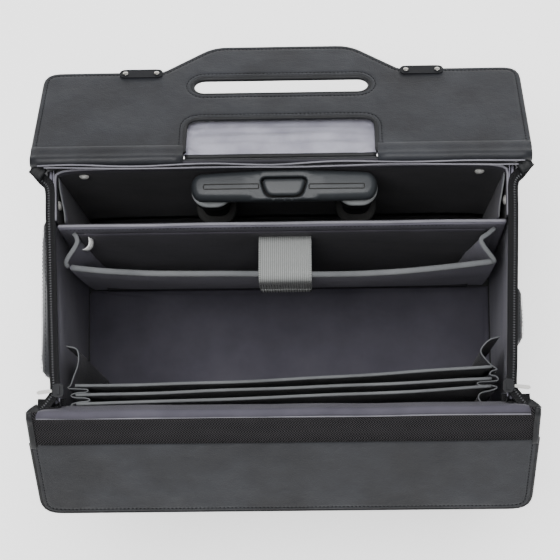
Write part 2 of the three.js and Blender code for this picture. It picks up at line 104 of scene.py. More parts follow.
def on_rear_flap(x, u, w):
    cos, sin = math.cos(REAR_OPEN), math.sin(REAR_OPEN)
    return case(x, HINGE_Y + cos * u - sin * w, REAR_HINGE_Z - sin * u - cos * w)


def on_cover(x, u, w):
    cos, sin = math.cos(REAR_OPEN), math.sin(REAR_OPEN)
    return case(x, COVER_Y + cos * u + sin * w, COVER_Z - sin * u + cos * w)


def rim_half(y):
    share = (y - SIDE_FRONT_Y) / (HINGE_Y - BOARD - SIDE_FRONT_Y)
    return SIDE_FRONT_HALF + share * (SIDE_REAR_HALF - SIDE_FRONT_HALF)


def wall_half(y, z):
    """Half of the outer width of the case at a height, which narrows a little towards the rim."""
    share = (z - BOTTOM_Z) / (SIDE_TOP_Z - BOTTOM_Z)
    return SIDE_BOTTOM_HALF + share * (rim_half(y) - SIDE_BOTTOM_HALF)


# ---- materials ----
def srgb(text):
    """A colour from its six hex digits, as linear red, green, blue and alpha."""
    parts = [int(text[i:i + 2], 16) / 255 for i in (0, 2, 4)]
    return [c / 12.92 if c <= 0.04045 else ((c + 0.055) / 1.055) ** 2.4 for c in parts] + [1]


class Look:
    """A material under construction: its shader, its nodes and short ways to add more."""

    def __init__(self, name, rough, **shader):
        self.material = bpy.data.materials.new(name)
        self.material.use_nodes = True
        self.tree = self.material.node_tree
        self.shader = self.tree.nodes["Principled BSDF"]
        self.set(self.shader, {"Roughness": rough, **shader})
        self.uv = self.add("ShaderNodeTexCoord").outputs["UV"]
        self.solid = self.add("ShaderNodeTexCoord").outputs["Object"]

    def set(self, node, values):
        for key, value in values.items():
            if isinstance(value, bpy.types.NodeSocket):
                self.tree.links.new(value, node.inputs[key])
            else:
                node.inputs[key].default_value = value

    def add(self, kind, values=None, **settings):
        node = self.tree.nodes.new(kind)
        for key, value in settings.items():
            setattr(node, key, value)
        self.set(node, values or {})
        return node

    def math(self, operation, a, b=0.0, c=0.0):
        return self.add("ShaderNodeMath", {0: a, 1: b, 2: c}, operation=operation).outputs[0]

    def noise(self, size, detail=3, where=None, rough=0.55):
        values = {"Vector": where or self.solid, "Scale": 1 / size, "Detail": detail, "Roughness": rough}
        return self.add("ShaderNodeTexNoise", values).outputs["Fac"]

    def cells(self, size, where=None):
        values = {"Vector": where or self.solid, "Scale": 1 / size}
        return self.add("ShaderNodeTexVoronoi", values, feature="F1").outputs["Distance"]

    def along(self, axis):
        return self.add("ShaderNodeSeparateXYZ", {"Vector": self.uv}).outputs[axis]

    def ridges(self, value, pitch):
        """A wave from 0 to 1 that repeats every pitch metres."""
        turned = self.math("MULTIPLY", value, 2 * math.pi / pitch)
        return self.math("MULTIPLY_ADD", self.math("SINE", turned), 0.5, 0.5)

    def blend(self, share, low, high, start=0.3, end=0.7):
        """A colour between two, as the share goes from start to end."""
        ramp = self.add("ShaderNodeValToRGB", {"Fac": share})
        ramp.color_ramp.elements[0].position, ramp.color_ramp.elements[1].position = start, end
        ramp.color_ramp.elements[0].color, ramp.color_ramp.elements[1].color = low, high
        return ramp.outputs["Color"]

    def mix(self, share, low, high):
        values = {"Factor": share, "A": low, "B": high}
        node = self.tree.nodes.new("ShaderNodeMix")
        node.data_type = "RGBA"
        sockets = {"Factor": node.inputs[0], "A": node.inputs[6], "B": node.inputs[7]}
        for key, value in values.items():
            if isinstance(value, bpy.types.NodeSocket):
                self.tree.links.new(value, sockets[key])
            else:
                sockets[key].default_value = value
        return node.outputs[2]

    def spread(self, value, low, high):
        """A value from 0 to 1 turned into one from low to high."""
        return self.math("MULTIPLY_ADD", value, high - low, low)

    def bump(self, height, depth, before=None):
        values = {"Height": height, "Distance": depth, "Strength": 1.0}
        if before is not None:
            values["Normal"] = before
        return self.add("ShaderNodeBump", values).outputs["Normal"]

    def finish(self, colour, normal=None, rough=None):
        self.set(self.shader, {"Base Color": colour})
        if normal is not None:
            self.set(self.shader, {"Normal": normal})
        if rough is not None:
            self.set(self.shader, {"Roughness": rough})
        return self.material


def leather(name, dark, light, grain=0.0011, rough=0.5):
    look = Look(name, rough, **{"Specular IOR Level": 0.3, "Coat Weight": 0.03, "Coat Roughness": 0.4})
    cloud = look.noise(0.06, 5)
    colour = look.blend(cloud, srgb(dark), srgb(light), 0.34, 0.68)
    pores = look.cells(grain)
    colour = look.mix(look.spread(pores, 0.0, 0.22), colour, srgb("1b1c1f"))
    edge = look.add("ShaderNodeAttribute", attribute_name="edge").outputs["Fac"]
    worn = look.math("MULTIPLY", edge, look.spread(look.noise(0.006, 2), 0.35, 1.0))
    colour = look.mix(look.math("MULTIPLY", worn, 0.75), colour, srgb("0b0c0e"))
    creases = look.bump(look.noise(0.03, 5), 0.0012)
    fine = look.bump(look.math("ADD", pores, look.noise(grain * 0.5, 2)), 0.00016, creases)
    return look.finish(colour, fine, look.spread(look.noise(0.02, 3), rough - 0.1, rough + 0.12))


def woven(name, dark, light, pitch=0.0008, rough=0.7, depth=0.00012, fold=0.0012):
    look = Look(name, rough, **{"Sheen Weight": 0.07, "Sheen Roughness": 0.45, "Specular IOR Level": 0.15})
    threads = look.math("MULTIPLY", look.ridges(look.along("X"), pitch), look.ridges(look.along("Y"), pitch))
    cloud = look.noise(0.05, 4)
    colour = look.blend(cloud, srgb(dark), srgb(light), 0.3, 0.72)
    colour = look.mix(look.spread(threads, 0.16, 0.0), colour, srgb("26252a"))
    folds = look.bump(look.noise(0.035, 3), fold)
    uneven = look.spread(cloud, rough - 0.08, rough + 0.08)
    return look.finish(colour, look.bump(threads, depth, folds), uneven)


def satin(name):
    look = Look(name, 0.42, **{
        "Sheen Weight": 0.35, "Sheen Roughness": 0.3, "Anisotropic": 0.5, "Specular IOR Level": 0.55})
    threads = look.ridges(look.along("Y"), 0.0009)
    colour = look.blend(look.noise(0.03, 3), srgb("83828f"), srgb("a09fac"))
    creases = look.bump(look.noise(0.022, 4), 0.0009)
    return look.finish(colour, look.bump(threads, 0.00006, creases), look.spread(threads, 0.36, 0.48))


def herringbone(name):
    """Rows of slanting cords that turn back at the edge of each row."""
    look = Look(name, 0.85, **{"Specular IOR Level": 0.12})
    row = 0.0052
    zigzag = look.math("PINGPONG", look.along("Y"), row)
    slanted = look.math("ADD", look.along("X"), zigzag)
    cords = look.ridges(slanted, 0.0026)
    fibres = look.ridges(look.math("SUBTRACT", look.along("X"), look.math("MULTIPLY", zigzag, 2.0)), 0.0007)
    colour = look.blend(cords, srgb("020203"), srgb("464447"), 0.3, 1.0)
    colour = look.mix(look.spread(look.noise(0.03, 3), 0.0, 0.25), colour, srgb("0c0c0d"))
    coarse = look.bump(cords, 0.0005)
    return look.finish(colour, look.bump(fibres, 0.00012, coarse), look.spread(cords, 0.9, 0.7))


def ribbed(name):
    """Strap webbing: ribs along its length, crossed by fine threads."""
    look = Look(name, 0.72, **{"Sheen Weight": 0.1, "Sheen Roughness": 0.4, "Specular IOR Level": 0.3})
    ribs = look.ridges(look.along("X"), 0.0019)
    picks = look.ridges(look.along("Y"), 0.0013)
    weave = look.math("MULTIPLY", ribs, look.spread(picks, 0.55, 1.0))
    colour = look.blend(weave, srgb("686a69"), srgb("939594"), 0.05, 0.75)
    colour = look.mix(look.spread(look.noise(0.004, 3), 0.0, 0.35), colour, srgb("8b8d8c"))
    return look.finish(colour, look.bump(weave, 0.0003), look.spread(weave, 0.85, 0.62))


def zip_tape(name):
    """Zip tape: small slanting twill in two rows."""
    look = Look(name, 0.82, **{"Specular IOR Level": 0.15})
    zigzag = look.math("PINGPONG", look.along("X"), 0.0028)
    cords = look.ridges(look.math("ADD", look.along("Y"), zigzag), 0.0019)
    colour = look.blend(cords, srgb("040405"), srgb("2b2b2d"), 0.2, 0.9)
    colour = look.mix(look.spread(look.noise(0.02, 2), 0.0, 0.3), colour, srgb("101011"))
    return look.finish(colour, look.bump(cords, 0.0004), look.spread(cords, 0.88, 0.7))


def thread(name, tone):
    look = Look(name, 0.7, **{"Specular IOR Level": 0.2})
    strands = look.noise(0.0006, 2)
    colour = look.mix(look.spread(strands, 0.0, 0.4), srgb(tone), srgb("0a0a0b"))
    return look.finish(colour, look.bump(strands, 0.00008))


def moulded(name, dark, light, rough=0.48, texture=0.0009):
    """Moulded plastic with a spark-eroded texture and a few faint scuffs."""
    look = Look(name, rough, **{"Specular IOR Level": 0.3, "Coat Weight": 0.03, "Coat Roughness": 0.3})
    speckle = look.noise(texture, 3)
    colour = look.blend(look.noise(0.05, 3), srgb(dark), srgb(light))
    scuffs = look.noise(0.0022, 5, rough=0.75)
    worn = look.math("GREATER_THAN", scuffs, 0.68)
    colour = look.mix(look.math("MULTIPLY", worn, 0.1), colour, srgb("9a9b9e"))
    return look.finish(colour, look.bump(speckle, 0.00009), look.spread(scuffs, rough - 0.08, rough + 0.16))


def rubber(name, tone, rough=0.82):
    look = Look(name, rough, **{"Specular IOR Level": 0.35})
    dust = look.noise(0.012, 4)
    colour = look.mix(look.spread(dust, 0.0, 0.35), srgb(tone), srgb("4b4a48"))
    return look.finish(colour, look.bump(look.noise(0.0012, 3), 0.00012), look.spread(dust, rough, 0.95))


def metal(name, tone, rough=0.26, brushed=False, scratches=0.00005, metallic=1.0):
    look = Look(name, rough, **{"Metallic": metallic, "Anisotropic": 0.6 if brushed else 0.0})
    stretch = (1, 1, 0.02) if brushed else (1, 1, 1)
    place = look.add("ShaderNodeMapping", {"Vector": look.solid, "Scale": stretch}).outputs[0]
    lines = look.noise(0.0007, 4, place)
    smudge = look.noise(0.018, 3)
    colour = look.mix(look.spread(smudge, 0.0, 0.3), srgb(tone), srgb("6d6e70"))
    return look.finish(colour, look.bump(lines, scratches), look.spread(smudge, rough - 0.06, rough + 0.14))


def painted(name, tone):
    """Black painted steel whose paint is rubbed in small spots."""
    look = Look(name, 0.5, **{"Specular IOR Level": 0.14})
    chips = look.noise(0.004, 5, rough=0.8)
    worn = look.math("GREATER_THAN", chips, 0.7)
    colour = look.mix(look.math("MULTIPLY", worn, 0.35), srgb(tone), srgb("8e8f91"))
    return look.finish(colour, look.bump(look.noise(0.0011, 3), 0.00007), look.spread(chips, 0.42, 0.6))


LOOKS = {
    "leather": (leather("leather", "191a1e", "2b2d32"), "leatherette"),
    "leather_edge": (leather("leather_edge", "0f1012", "1d1e21", rough=0.6), "leatherette"),
    "lining": (woven("lining", "6b6975", "7b7985"), "lining"),
    # painted shade: a darker copy of the lining for the floor and other low surfaces
    "lining_mid": (woven("lining_mid", "4b4953", "5a5862"), "lining"),
    # painted light: a paler copy of the lining, so surfaces seen edge-on look lit
    "lining_pale": (woven("lining_pale", "8a8895", "9997a4"), "lining"),
    # painted shade: a much darker copy of the lining for the deep, shaded places inside
    "lining_dark": (woven("lining_dark", "2a292f", "3a383f"), "lining"),
    # painted highlight: a lighter copy of the lining for the edges that face the light
    "lining_edge": (woven("lining_edge", "74737b", "8f8e96", 0.0012, 0.65, 0.0002), "lining"),
    "binding": (woven("binding", "5b5d5f", "747678", 0.0012, 0.7, 0.0002), "lining"),
    "label": (woven("label", "d9d9d6", "ececea", 0.0006, 0.6, 0.00005), "lining"),
    "satin": (satin("satin"), "satin"),
    "webbing": (herringbone("herringbone"), "webbing"),
    "strap": (ribbed("ribbed_strap"), "strap"),
    "zip_tape": (zip_tape("zip_tape"), "zipper"),
    "zip_coil": (moulded("zip_coil", "4a4b4e", "6a6b6f", 0.35, 0.0005), "zipper"),
    "thread": (thread("thread_dark", "050506"), "leatherette"),
    "thread_light": (thread("thread_light", "8d8d93"), "lining"),
    "grip": (moulded("grip_plastic", "24272a", "2e3134", 0.42), "moulding"),
    "moulding": (moulded("moulding", "161719", "202123"), "moulding"),
    "collar": (moulded("collar_plastic", "7d8082", "8f9293", 0.45), "moulding"),
    "button": (moulded("button_plastic", "222528", "2c2f32", 0.38), "button"),
    "rubber": (rubber("rubber", "101011"), "rubber"),
    "tyre": (rubber("tyre_rubber", "232325", 0.75), "tyre"),
    "aluminium": (metal("anodised_aluminium", "b9bbbe", 0.3, True), "aluminium"),
    "steel": (metal("nickelled_steel", "cfcdc6", 0.2), "steel"),
    "nickel": (metal("bright_nickel", "f4f3ee", 0.38, metallic=0.35), "steel"),
    "black_metal": (painted("painted_steel", "1b1c1f"), "black_metal"),
}


# ---- mesh helpers ----
def make(name, points, faces, looks, body=None, uvs=None, kinds=None, outward=True):
    """A mesh object from points in metres. looks are names in LOOKS, and kinds the look of each face."""
    looks = [looks] if isinstance(looks, str) else looks
    mesh = bpy.data.meshes.new(name)
    mesh.from_pydata([tuple(p) for p in np.asarray(points, float)], [], [tuple(f) for f in faces])
    for look in looks:
        mesh.materials.append(LOOKS[look][0])
    if kinds is not None:
        mesh.polygons.foreach_set("material_index", np.asarray(kinds, np.int32))
    mesh.polygons.foreach_set("use_smooth", [True] * len(mesh.polygons))
    if uvs is not None:
        corners = np.zeros(len(mesh.loops), np.int32)
        mesh.loops.foreach_get("vertex_index", corners)
        layer = mesh.uv_layers.new(name="UVMap")
        layer.data.foreach_set("uv", np.asarray(uvs, np.float32)[corners].ravel())
    mesh.update()
    if outward:
        turn_outward(mesh)
    obj = bpy.data.objects.new(name, mesh)
    bpy.context.scene.collection.objects.link(obj)
    if body is not None:
        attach(obj, body)
    return obj


def places(mesh):
    """The places of a mesh's vertices, one row each."""
    return np.array([v.co for v in mesh.vertices])


def turn_outward(mesh):
    """Turns every face over if the closed mesh is inside out."""
    points = places(mesh)
    mesh.calc_loop_triangles()
    corners = np.array([t.vertices for t in mesh.loop_triangles])
    a, b, c = (points[corners[:, i]] for i in range(3))
    if np.einsum("ij,ij->i", a - points.mean(0), np.cross(b - a, c - a)).sum() < 0:
        mesh.flip_normals()


def wave(a, b, size, seed, count=5):
    """A smooth ripple of about plus or minus 1, whose features are about size across."""
    rng = np.random.RandomState(seed)
    total = 0
    for _ in range(count):
        turn = rng.uniform(0, 2 * math.pi)
        phase = rng.uniform(0, 2 * math.pi)
        stretch = rng.uniform(0.7, 1.6)
        along = a * math.cos(turn) + b * math.sin(turn)
        total = total + np.sin(along * 2 * math.pi / (size * stretch) + phase)
    return total / math.sqrt(count)


def resample(line, spacing, closed=False):
    """The same line with evenly spaced points."""
    line = np.asarray(line, float)
    if closed:
        line = np.vstack([line, line[:1]])
    steps = np.linalg.norm(np.diff(line, axis=0), axis=1)
    reach = np.concatenate([[0], np.cumsum(steps)])
    count = max(2, int(round(reach[-1] / spacing)) + 1)
    where = np.linspace(0, reach[-1], count)
    if closed:
        where = where[:-1]
    return np.stack([np.interp(where, reach, line[:, i]) for i in range(line.shape[1])], -1)


def curved(line, spacing, closed=False):
    """A smooth line through the points (Catmull-Rom), evenly spaced."""
    line = np.asarray(line, float)
    if closed:
        padded = np.vstack([line[-1:], line, line[:2]])
    else:
        padded = np.vstack([2 * line[:1] - line[1:2], line, 2 * line[-1:] - line[-2:-1]])
    t = np.linspace(0, 1, 9)[:-1, None]
    parts = []
    for a, b, c, d in zip(padded, padded[1:], padded[2:], padded[3:]):
        parts.append(0.5 * (2 * b + (c - a) * t + (2 * a - 5 * b + 4 * c - d) * t ** 2
                            + (3 * b - 3 * c + d - a) * t ** 3))
    smooth = np.vstack(parts + ([] if closed else [line[-1:]]))
    return resample(smooth, spacing, closed)


def bend(a, control, b, count=6):
    """Points of a quarter-turn-like curve from a to b, without a itself."""
    a, control, b = (np.asarray(p, float) for p in (a, control, b))
    t = np.linspace(0, 1, count + 1)[1:, None]
    return (1 - t) ** 2 * a + 2 * t * (1 - t) * control + t ** 2 * b


def oblong(width, depth, radius, x=0.0, y=0.0, count=6):
    """A rounded rectangle's outline."""
    a, b = width / 2 - radius, depth / 2 - radius
    points = []
    for centre, start in (((a, b), 0), ((-a, b), 90), ((-a, -b), 180), ((a, -b), 270)):
        for turn in np.radians(np.linspace(start, start + 90, count + 1)):
            points.append((x + centre[0] + radius * math.cos(turn), y + centre[1] + radius * math.sin(turn)))
    return points


def inside(points, loop):
    """Whether each point lies within the loop."""
    x, y = points[:, 0][:, None], points[:, 1][:, None]
    a, b = loop, np.roll(loop, -1, 0)
    crosses = (a[:, 1] > y) != (b[:, 1] > y)
    rise = np.where(b[:, 1] == a[:, 1], 1e-12, b[:, 1] - a[:, 1])
    at = a[:, 0] + (y - a[:, 1]) / rise * (b[:, 0] - a[:, 0])
    return (crosses & (x < at)).sum(1) % 2 == 1


def to_edge(points, loops):
    """The distance from each point to the nearest of the loops."""
    best = np.full(len(points), 1e9)
    for loop in loops:
        a, b = loop, np.roll(loop, -1, 0)
        for start, end in zip(a, b):
            d = end - start
            share = np.clip(((points - start) @ d) / max(d @ d, 1e-12), 0, 1)
            best = np.minimum(best, np.linalg.norm(points - start - share[:, None] * d, axis=1))
    return best


def mirrored(half):
    """A whole outline from its right half."""
    return np.vstack([np.array(half), np.array(half)[::-1] * (-1, 1)])


def inset(loop, distance, hole=False):
    """The loop moved into the material by a distance."""
    before, after = np.roll(loop, 1, 0), np.roll(loop, -1, 0)
    area = (loop[:, 0] * after[:, 1] - after[:, 0] * loop[:, 1]).sum()
    side = (1 if area > 0 else -1) * (-1 if hole else 1)
    first, second = loop - before, after - loop
    normals = [np.stack([-d[:, 1], d[:, 0]], -1) / np.linalg.norm(d, axis=1)[:, None]
               for d in (first, second)]
    middle = normals[0] + normals[1]
    scale = 2 / np.maximum((middle ** 2).sum(1), 0.7)
    return loop + side * distance * middle * scale[:, None]


RINGS = (0.35, 1.1, 2.4, 4.0, 4.9, 5.6, 6.8, 9.0)


def plate(name, outer, holes, through, place, looks, body, step=13, rings=RINGS, spacing=6):
    """A padded board: an outline with holes, and through(a, b, d) giving its two faces d from its edge."""
    loops = [resample(outer, spacing, True)] + [resample(hole, spacing * 0.7, True) for hole in holes]
    points = [*loops]
    for distance in rings:
        for i, loop in enumerate(loops):
            ring = inset(loop, distance, i > 0)
            points.append(ring[to_edge(ring, loops) > distance * 0.93])
    low, high = loops[0].min(0), loops[0].max(0)
    counts = np.maximum(((high - low) / step).astype(int), 1)
    axes = [np.linspace(low[i], high[i], counts[i] + 1) for i in (0, 1)]
    field = np.stack(np.meshgrid(*axes), -1).reshape(-1, 2)
    points.append(field[to_edge(field, loops) > rings[-1] + step * 0.35])
    flat = np.vstack(points)
    keep = inside(flat, loops[0])
    for hole in loops[1:]:
        keep &= ~inside(flat, hole)
    border = sum(len(loop) for loop in loops)
    keep[:border] = True
    flat = flat[keep]
    edges, start = [], 0
    for loop in loops:
        edges += [(start + i, start + (i + 1) % len(loop)) for i in range(len(loop))]
        start += len(loop)
    found = delaunay_2d_cdt([Vector(p) for p in flat], edges, [], 0, 1e-6)
    flat = np.array([tuple(p) for p in found[0]])
    triangles = np.array(found[2])
    centres = flat[triangles].mean(1)
    good = inside(centres, loops[0])
    for hole in loops[1:]:
        good &= ~inside(centres, hole)
    triangles = triangles[good]
    d = to_edge(flat, loops)
    first, second = through(flat[:, 0], flat[:, 1], d)
    on_edge = d < 1e-3
    middle = (first + second) / 2
    first, second = np.where(on_edge, middle, first), np.where(on_edge, middle, second)
    count = len(flat)
    twin = np.where(on_edge, np.arange(count), -1)
    twin[~on_edge] = count + np.arange((~on_edge).sum())
    world = np.vstack([place(flat[:, 0], flat[:, 1], first),
                       place(flat[~on_edge, 0], flat[~on_edge, 1], second[~on_edge])])
    faces = [tuple(t) for t in triangles] + [tuple(twin[t][::-1]) for t in triangles]
    kinds = [0] * len(triangles) + [1] * len(triangles)
    uvs = np.vstack([flat, flat[~on_edge]]) * MM
    obj = make(name, world, faces, looks, body, uvs, kinds)
    near = 1 - np.clip(np.concatenate([d, d[~on_edge]]) / 3, 0, 1)
    obj.data.attributes.new("edge", "FLOAT", "POINT").data.foreach_set("value", near.astype(np.float32))
    return obj


def board(low, high, radius=2.4, groove=4.9, depth=0.45, puff=0.35, ripple=0.12, seed=1, size=70):
    """The two faces of a padded board with rounded edges and a sewn line round it."""
    middle, half = (low + high) / 2, (high - low) / 2

    def through(a, b, d):
        rounding = np.sqrt(np.clip(1 - (1 - np.clip(d / radius, 0, 1)) ** 2, 0, 1))
        sewn = depth * np.exp(-((d - groove) / 0.8) ** 2) if groove else 0
        swell = puff * (1 - np.exp(-np.clip(d - (groove or 0), 0, None) / 7))
        relief = half * rounding - sewn + swell
        soft = ripple * wave(a, b, size, seed) * np.clip(d / 12, 0, 1)
        return middle - relief + soft, middle + relief + soft

    return through


def cloth(name, points, looks, body=None, thickness=0.8, offset=0.0):
    """A sheet through a grid of points in metres, given some thickness by a modifier."""
    points = np.asarray(points, float)
    rows, columns = points.shape[:2]
    down = np.linalg.norm(np.diff(points, axis=0), axis=2).mean(1)
    across = np.linalg.norm(np.diff(points, axis=1), axis=2).mean(0)
    v = np.concatenate([[0], np.cumsum(down)])
    u = np.concatenate([[0], np.cumsum(across)])
    uvs = np.stack(np.meshgrid(u, v), -1).reshape(-1, 2)
    index = np.arange(rows * columns).reshape(rows, columns)
    faces = np.stack([index[:-1, :-1], index[:-1, 1:], index[1:, 1:], index[1:, :-1]], -1).reshape(-1, 4)
    obj = make(name, points.reshape(-1, 3), faces, looks, body, uvs, outward=False)
    thicken = obj.modifiers.new("thickness", "SOLIDIFY")
    thicken.thickness, thicken.offset = thickness * MM, offset
    if not isinstance(looks, str) and len(looks) > 1:
        thicken.material_offset = 1
    return obj


def lerp_rows(first, last, count):
    """Rows of points from one line to another."""
    t = np.linspace(0, 1, count)[:, None, None]
    return np.asarray(first, float)[None] * (1 - t) + np.asarray(last, float)[None] * t


def cordage(name, path, radius, look, body=None, flat=1.0, closed=False, up=(0, 0, 1), around=8):
    """A cord, piping or bound edge along a path in metres, `flat` times as deep as it is wide."""
    path = np.asarray(path, float)
    ahead = np.roll(path, -1, 0) - np.roll(path, 1, 0)
    if not closed:
        ahead[0], ahead[-1] = path[1] - path[0], path[-1] - path[-2]
    ahead /= np.linalg.norm(ahead, axis=1)[:, None]
    side = np.cross(ahead, np.asarray(up, float))
    side /= np.maximum(np.linalg.norm(side, axis=1), 1e-9)[:, None]
    lift = np.cross(side, ahead)
    turns = np.linspace(0, 2 * math.pi, around, endpoint=False)
    ring = np.stack([np.cos(turns), np.sin(turns) * flat], -1) * radius * MM
    points = path[:, None] + side[:, None] * ring[None, :, :1] + lift[:, None] * ring[None, :, 1:]
    points = points.reshape(-1, 3)
    count = len(path)
    reach = np.concatenate([[0], np.cumsum(np.linalg.norm(np.diff(path, axis=0), axis=1))])
    uvs = np.stack([np.repeat(reach, around), np.tile(turns * radius * MM, count)], -1)
    faces = []
    for i in range(count if closed else count - 1):
        near, far = i * around, ((i + 1) % count) * around
        faces += [(near + k, near + (k + 1) % around, far + (k + 1) % around, far + k)
                  for k in range(around)]
    if not closed:
        faces += [tuple(range(around))[::-1], tuple((count - 1) * around + k for k in range(around))]
    return make(name, points, faces, look, body, uvs)


def ring_faces(rings, around):
    """The faces of a closed body made of stacked rings of points."""
    faces = [(i * around + k, i * around + (k + 1) % around, (i + 1) * around + (k + 1) % around,
              (i + 1) * around + k) for i in range(rings - 1) for k in range(around)]
    return faces + [tuple(range(around))[::-1], tuple((rings - 1) * around + k for k in range(around))]


def seam(name, rows, place, lift, look="thread", body=None, pitch=3.9, length=2.7, width=1.15, height=0.4):
    """Stitches along rows of (line, closed), lying at lift on the surface that place describes."""
    points, faces = [], []
    for line, closed in rows:
        centres = resample(line, pitch, closed)
        ahead = np.roll(centres, -1, 0) - np.roll(centres, 1, 0)
        if not closed:
            ahead[0], ahead[-1] = centres[1] - centres[0], centres[-1] - centres[-2]
        ahead /= np.maximum(np.linalg.norm(ahead, axis=1), 1e-9)[:, None]
        across = np.stack([-ahead[:, 1], ahead[:, 0]], -1)
        flat = [centres - ahead * length / 2, centres + ahead * length / 2,
                centres - across * width / 2, centres + across * width / 2, centres, centres]
        level = lift(centres[:, 0], centres[:, 1]) if callable(lift) else np.full(len(centres), float(lift))
        heights = [level, level, level, level, level + height, level - height]
        corners = np.stack([place(f[:, 0], f[:, 1], h) for f, h in zip(flat, heights)], 1)
        for stitch in corners:
            n = len(points)
            points.extend(stitch)
            for a, b in ((0, 2), (2, 1), (1, 3), (3, 0)):
                faces += [(n + a, n + b, n + 4), (n + b, n + a, n + 5)]
    return make(name, points, faces, look, body, outward=False)


def settle(obj, held, frames=22, pressure=0.0, growth=0.0, gravity=0.0, cap=5.0, bending=0.6):
    """Runs a cloth simulation on obj with some points held still, and keeps its result."""
    scene = bpy.context.scene
    others = [m for m in obj.modifiers]
    for modifier in others:
        modifier.show_viewport = False
    rest = places(obj.data)
    group = obj.vertex_groups.new(name="held")
    group.add([int(i) for i in np.flatnonzero(held)], 1.0, "REPLACE")
    modifier = obj.modifiers.new("simulated", "CLOTH")
    settings = modifier.settings
    settings.quality, settings.mass = 6, 0.2
    settings.tension_stiffness = settings.compression_stiffness = 20
    settings.shear_stiffness, settings.bending_stiffness = 8, bending
    settings.vertex_group_mass = "held"
    settings.use_pressure, settings.uniform_pressure_force = pressure != 0, pressure
    settings.shrink_min = -growth
    settings.effector_weights.gravity = gravity
    modifier.collision_settings.use_collision = False
    for step in range(1, frames + 1):
        scene.frame_set(step)
    graph = bpy.context.evaluated_depsgraph_get()
    shaped = places(obj.evaluated_get(graph).data)
    moved = shaped - rest
    far = np.linalg.norm(moved, axis=1)
    moved *= np.minimum(1, cap * MM / np.maximum(far, 1e-9))[:, None]
    obj.modifiers.remove(modifier)
    obj.vertex_groups.remove(group)
    obj.data.vertices.foreach_set("co", (rest + moved).astype(np.float32).ravel())
    obj.data.update()
    for modifier in others:
        modifier.show_viewport = True
    scene.frame_set(1)


def dress(node, look, bevel=0.0, segments=2):
    """Gives a CAD node a finished material and rounds its edges."""
    obj = frame["nodes"][node]
    obj.data.materials.clear()
    obj.data.materials.append(LOOKS[look][0])
    if bevel:
        rounding = obj.modifiers.new("rounded", "BEVEL")
        rounding.width, rounding.segments = bevel * MM, segments
        rounding.limit_method, rounding.angle_limit = "ANGLE", math.radians(35)
        rounding.use_clamp_overlap = True


sides = (("left", -1), ("right", 1))


# ---- rear flap with the hand slot ----
FLAP = {"inner": 0.8, "outer": 6.3, "start": 8, "shoulder": 130, "handle": 168, "corner": 17}
CUT = {"half": 92.5, "end": 58, "radius": 15}
SLOT = {"width": 177, "height": 26, "middle": 107}
RIVET = {"u": 124.5, "w": -1.9, "levels": ((2.6, 0.0), (2.45, 0.15), (1.9, 0.25), (1.1, 0.3), (0.35, 0.35))}


def flap_outline():
    shoulder, handle, corner = FLAP["shoulder"], FLAP["handle"], FLAP["corner"]
    right = [(CUT["half"], FLAP["start"]), (LID_HALF, FLAP["start"]), (LID_HALF - 3, shoulder - corner)]
    right += list(bend(right[-1], (LID_HALF - 3, shoulder), (LID_HALF - 3 - corner, shoulder)))
    right += [(118, shoulder)]
    right += [(78, handle - 7)]
    right += list(bend((78, handle - 7), (68, handle), (56, handle)))
    notch = [(CUT["half"] - CUT["radius"], CUT["end"])]
    notch += list(bend(notch[0], (CUT["half"], CUT["end"]), (CUT["half"], CUT["end"] - CUT["radius"])))
    return mirrored(notch + right)


def build_rear_flap():
    body = "rear_flap_assembly"
    outline = flap_outline()
    slot = np.array(oblong(SLOT["width"], SLOT["height"], SLOT["height"] / 2, 0, SLOT["middle"], 9))
    faces = board(FLAP["inner"], FLAP["outer"], 2.2, 4.9, 0.5, 0.35, 0.16, 3)
    flap = plate("flap_leather", outline, [slot], faces, on_rear_flap, ["leather", "leather"], body)
    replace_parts(flap, "rear_flap")
    loop = resample(outline, 3, True)
    hole = resample(slot, 3, True)
    rows = [(inset(loop, 4.9), True), (inset(hole, 4.9, True), True)]
    for face, level in (("inner", FLAP["inner"] + 0.15), ("outer", FLAP["outer"] - 0.15)):
        seam(f"flap_stitches_{face}", rows, on_rear_flap, level, "thread", body)
    # A rolled edge follows the notch for the trolley cover.
    notch = loop[(np.abs(loop[:, 0]) < CUT["half"] + 1) & (loop[:, 1] < CUT["end"] + 1)]
    notch = notch[np.argsort(np.arctan2(notch[:, 0], notch[:, 1] - 20))]
    roll = curved(on_rear_flap(notch[:, 0], notch[:, 1], 2.2), 4 * MM)
    cordage("flap_notch_roll", roll, 2.1, "leather_edge", body)
    rim = resample(slot, 4, True)
    middle = (FLAP["inner"] + FLAP["outer"]) / 2
    path = on_rear_flap(rim[:, 0], rim[:, 1], middle)
    cordage("hand_slot_roll", path, 2.9, "leather_edge", body, closed=True)
    turns = np.linspace(0, 2 * math.pi, 20, endpoint=False)
    for name, side in sides:
        dress(f"lock_strike_{name}", "black_metal", 0.5)
        for number, offset in enumerate((-15.5, 15.5)):
            x = side * LOCK_X + offset
            rings = [on_rear_flap(x + r * np.cos(turns), RIVET["u"] + r * np.sin(turns), RIVET["w"] - h)
                     for r, h in RIVET["levels"]]
            faces = ring_faces(len(rings), len(turns))
            make(f"strike_rivet_{name}_{number + 1}", np.vstack(rings), faces, "steel", body)


def hinge_strip(name, x0, x1, profile, look, bodies, start, end, seed, thickness=1.1, ripple=0.5):
    """A strip of leather that crosses a hinge: profile is its side view in y and z."""
    line = curved(profile, 2.2)
    xs = np.linspace(x0, x1, max(3, int(abs(x1 - x0) / 9)))
    fade = np.sin(np.linspace(0, math.pi, len(line)))
    rows = []
    for (y, z), amount in zip(line, fade):
        lift = ripple * amount * wave(xs, y, 60, seed)
        rows.append(case(xs, y, z + lift))
    strip = cloth(name, rows, look, thickness=thickness)
    tuple(case(0, *start))
    tuple(case(0, *end))
    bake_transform(strip)


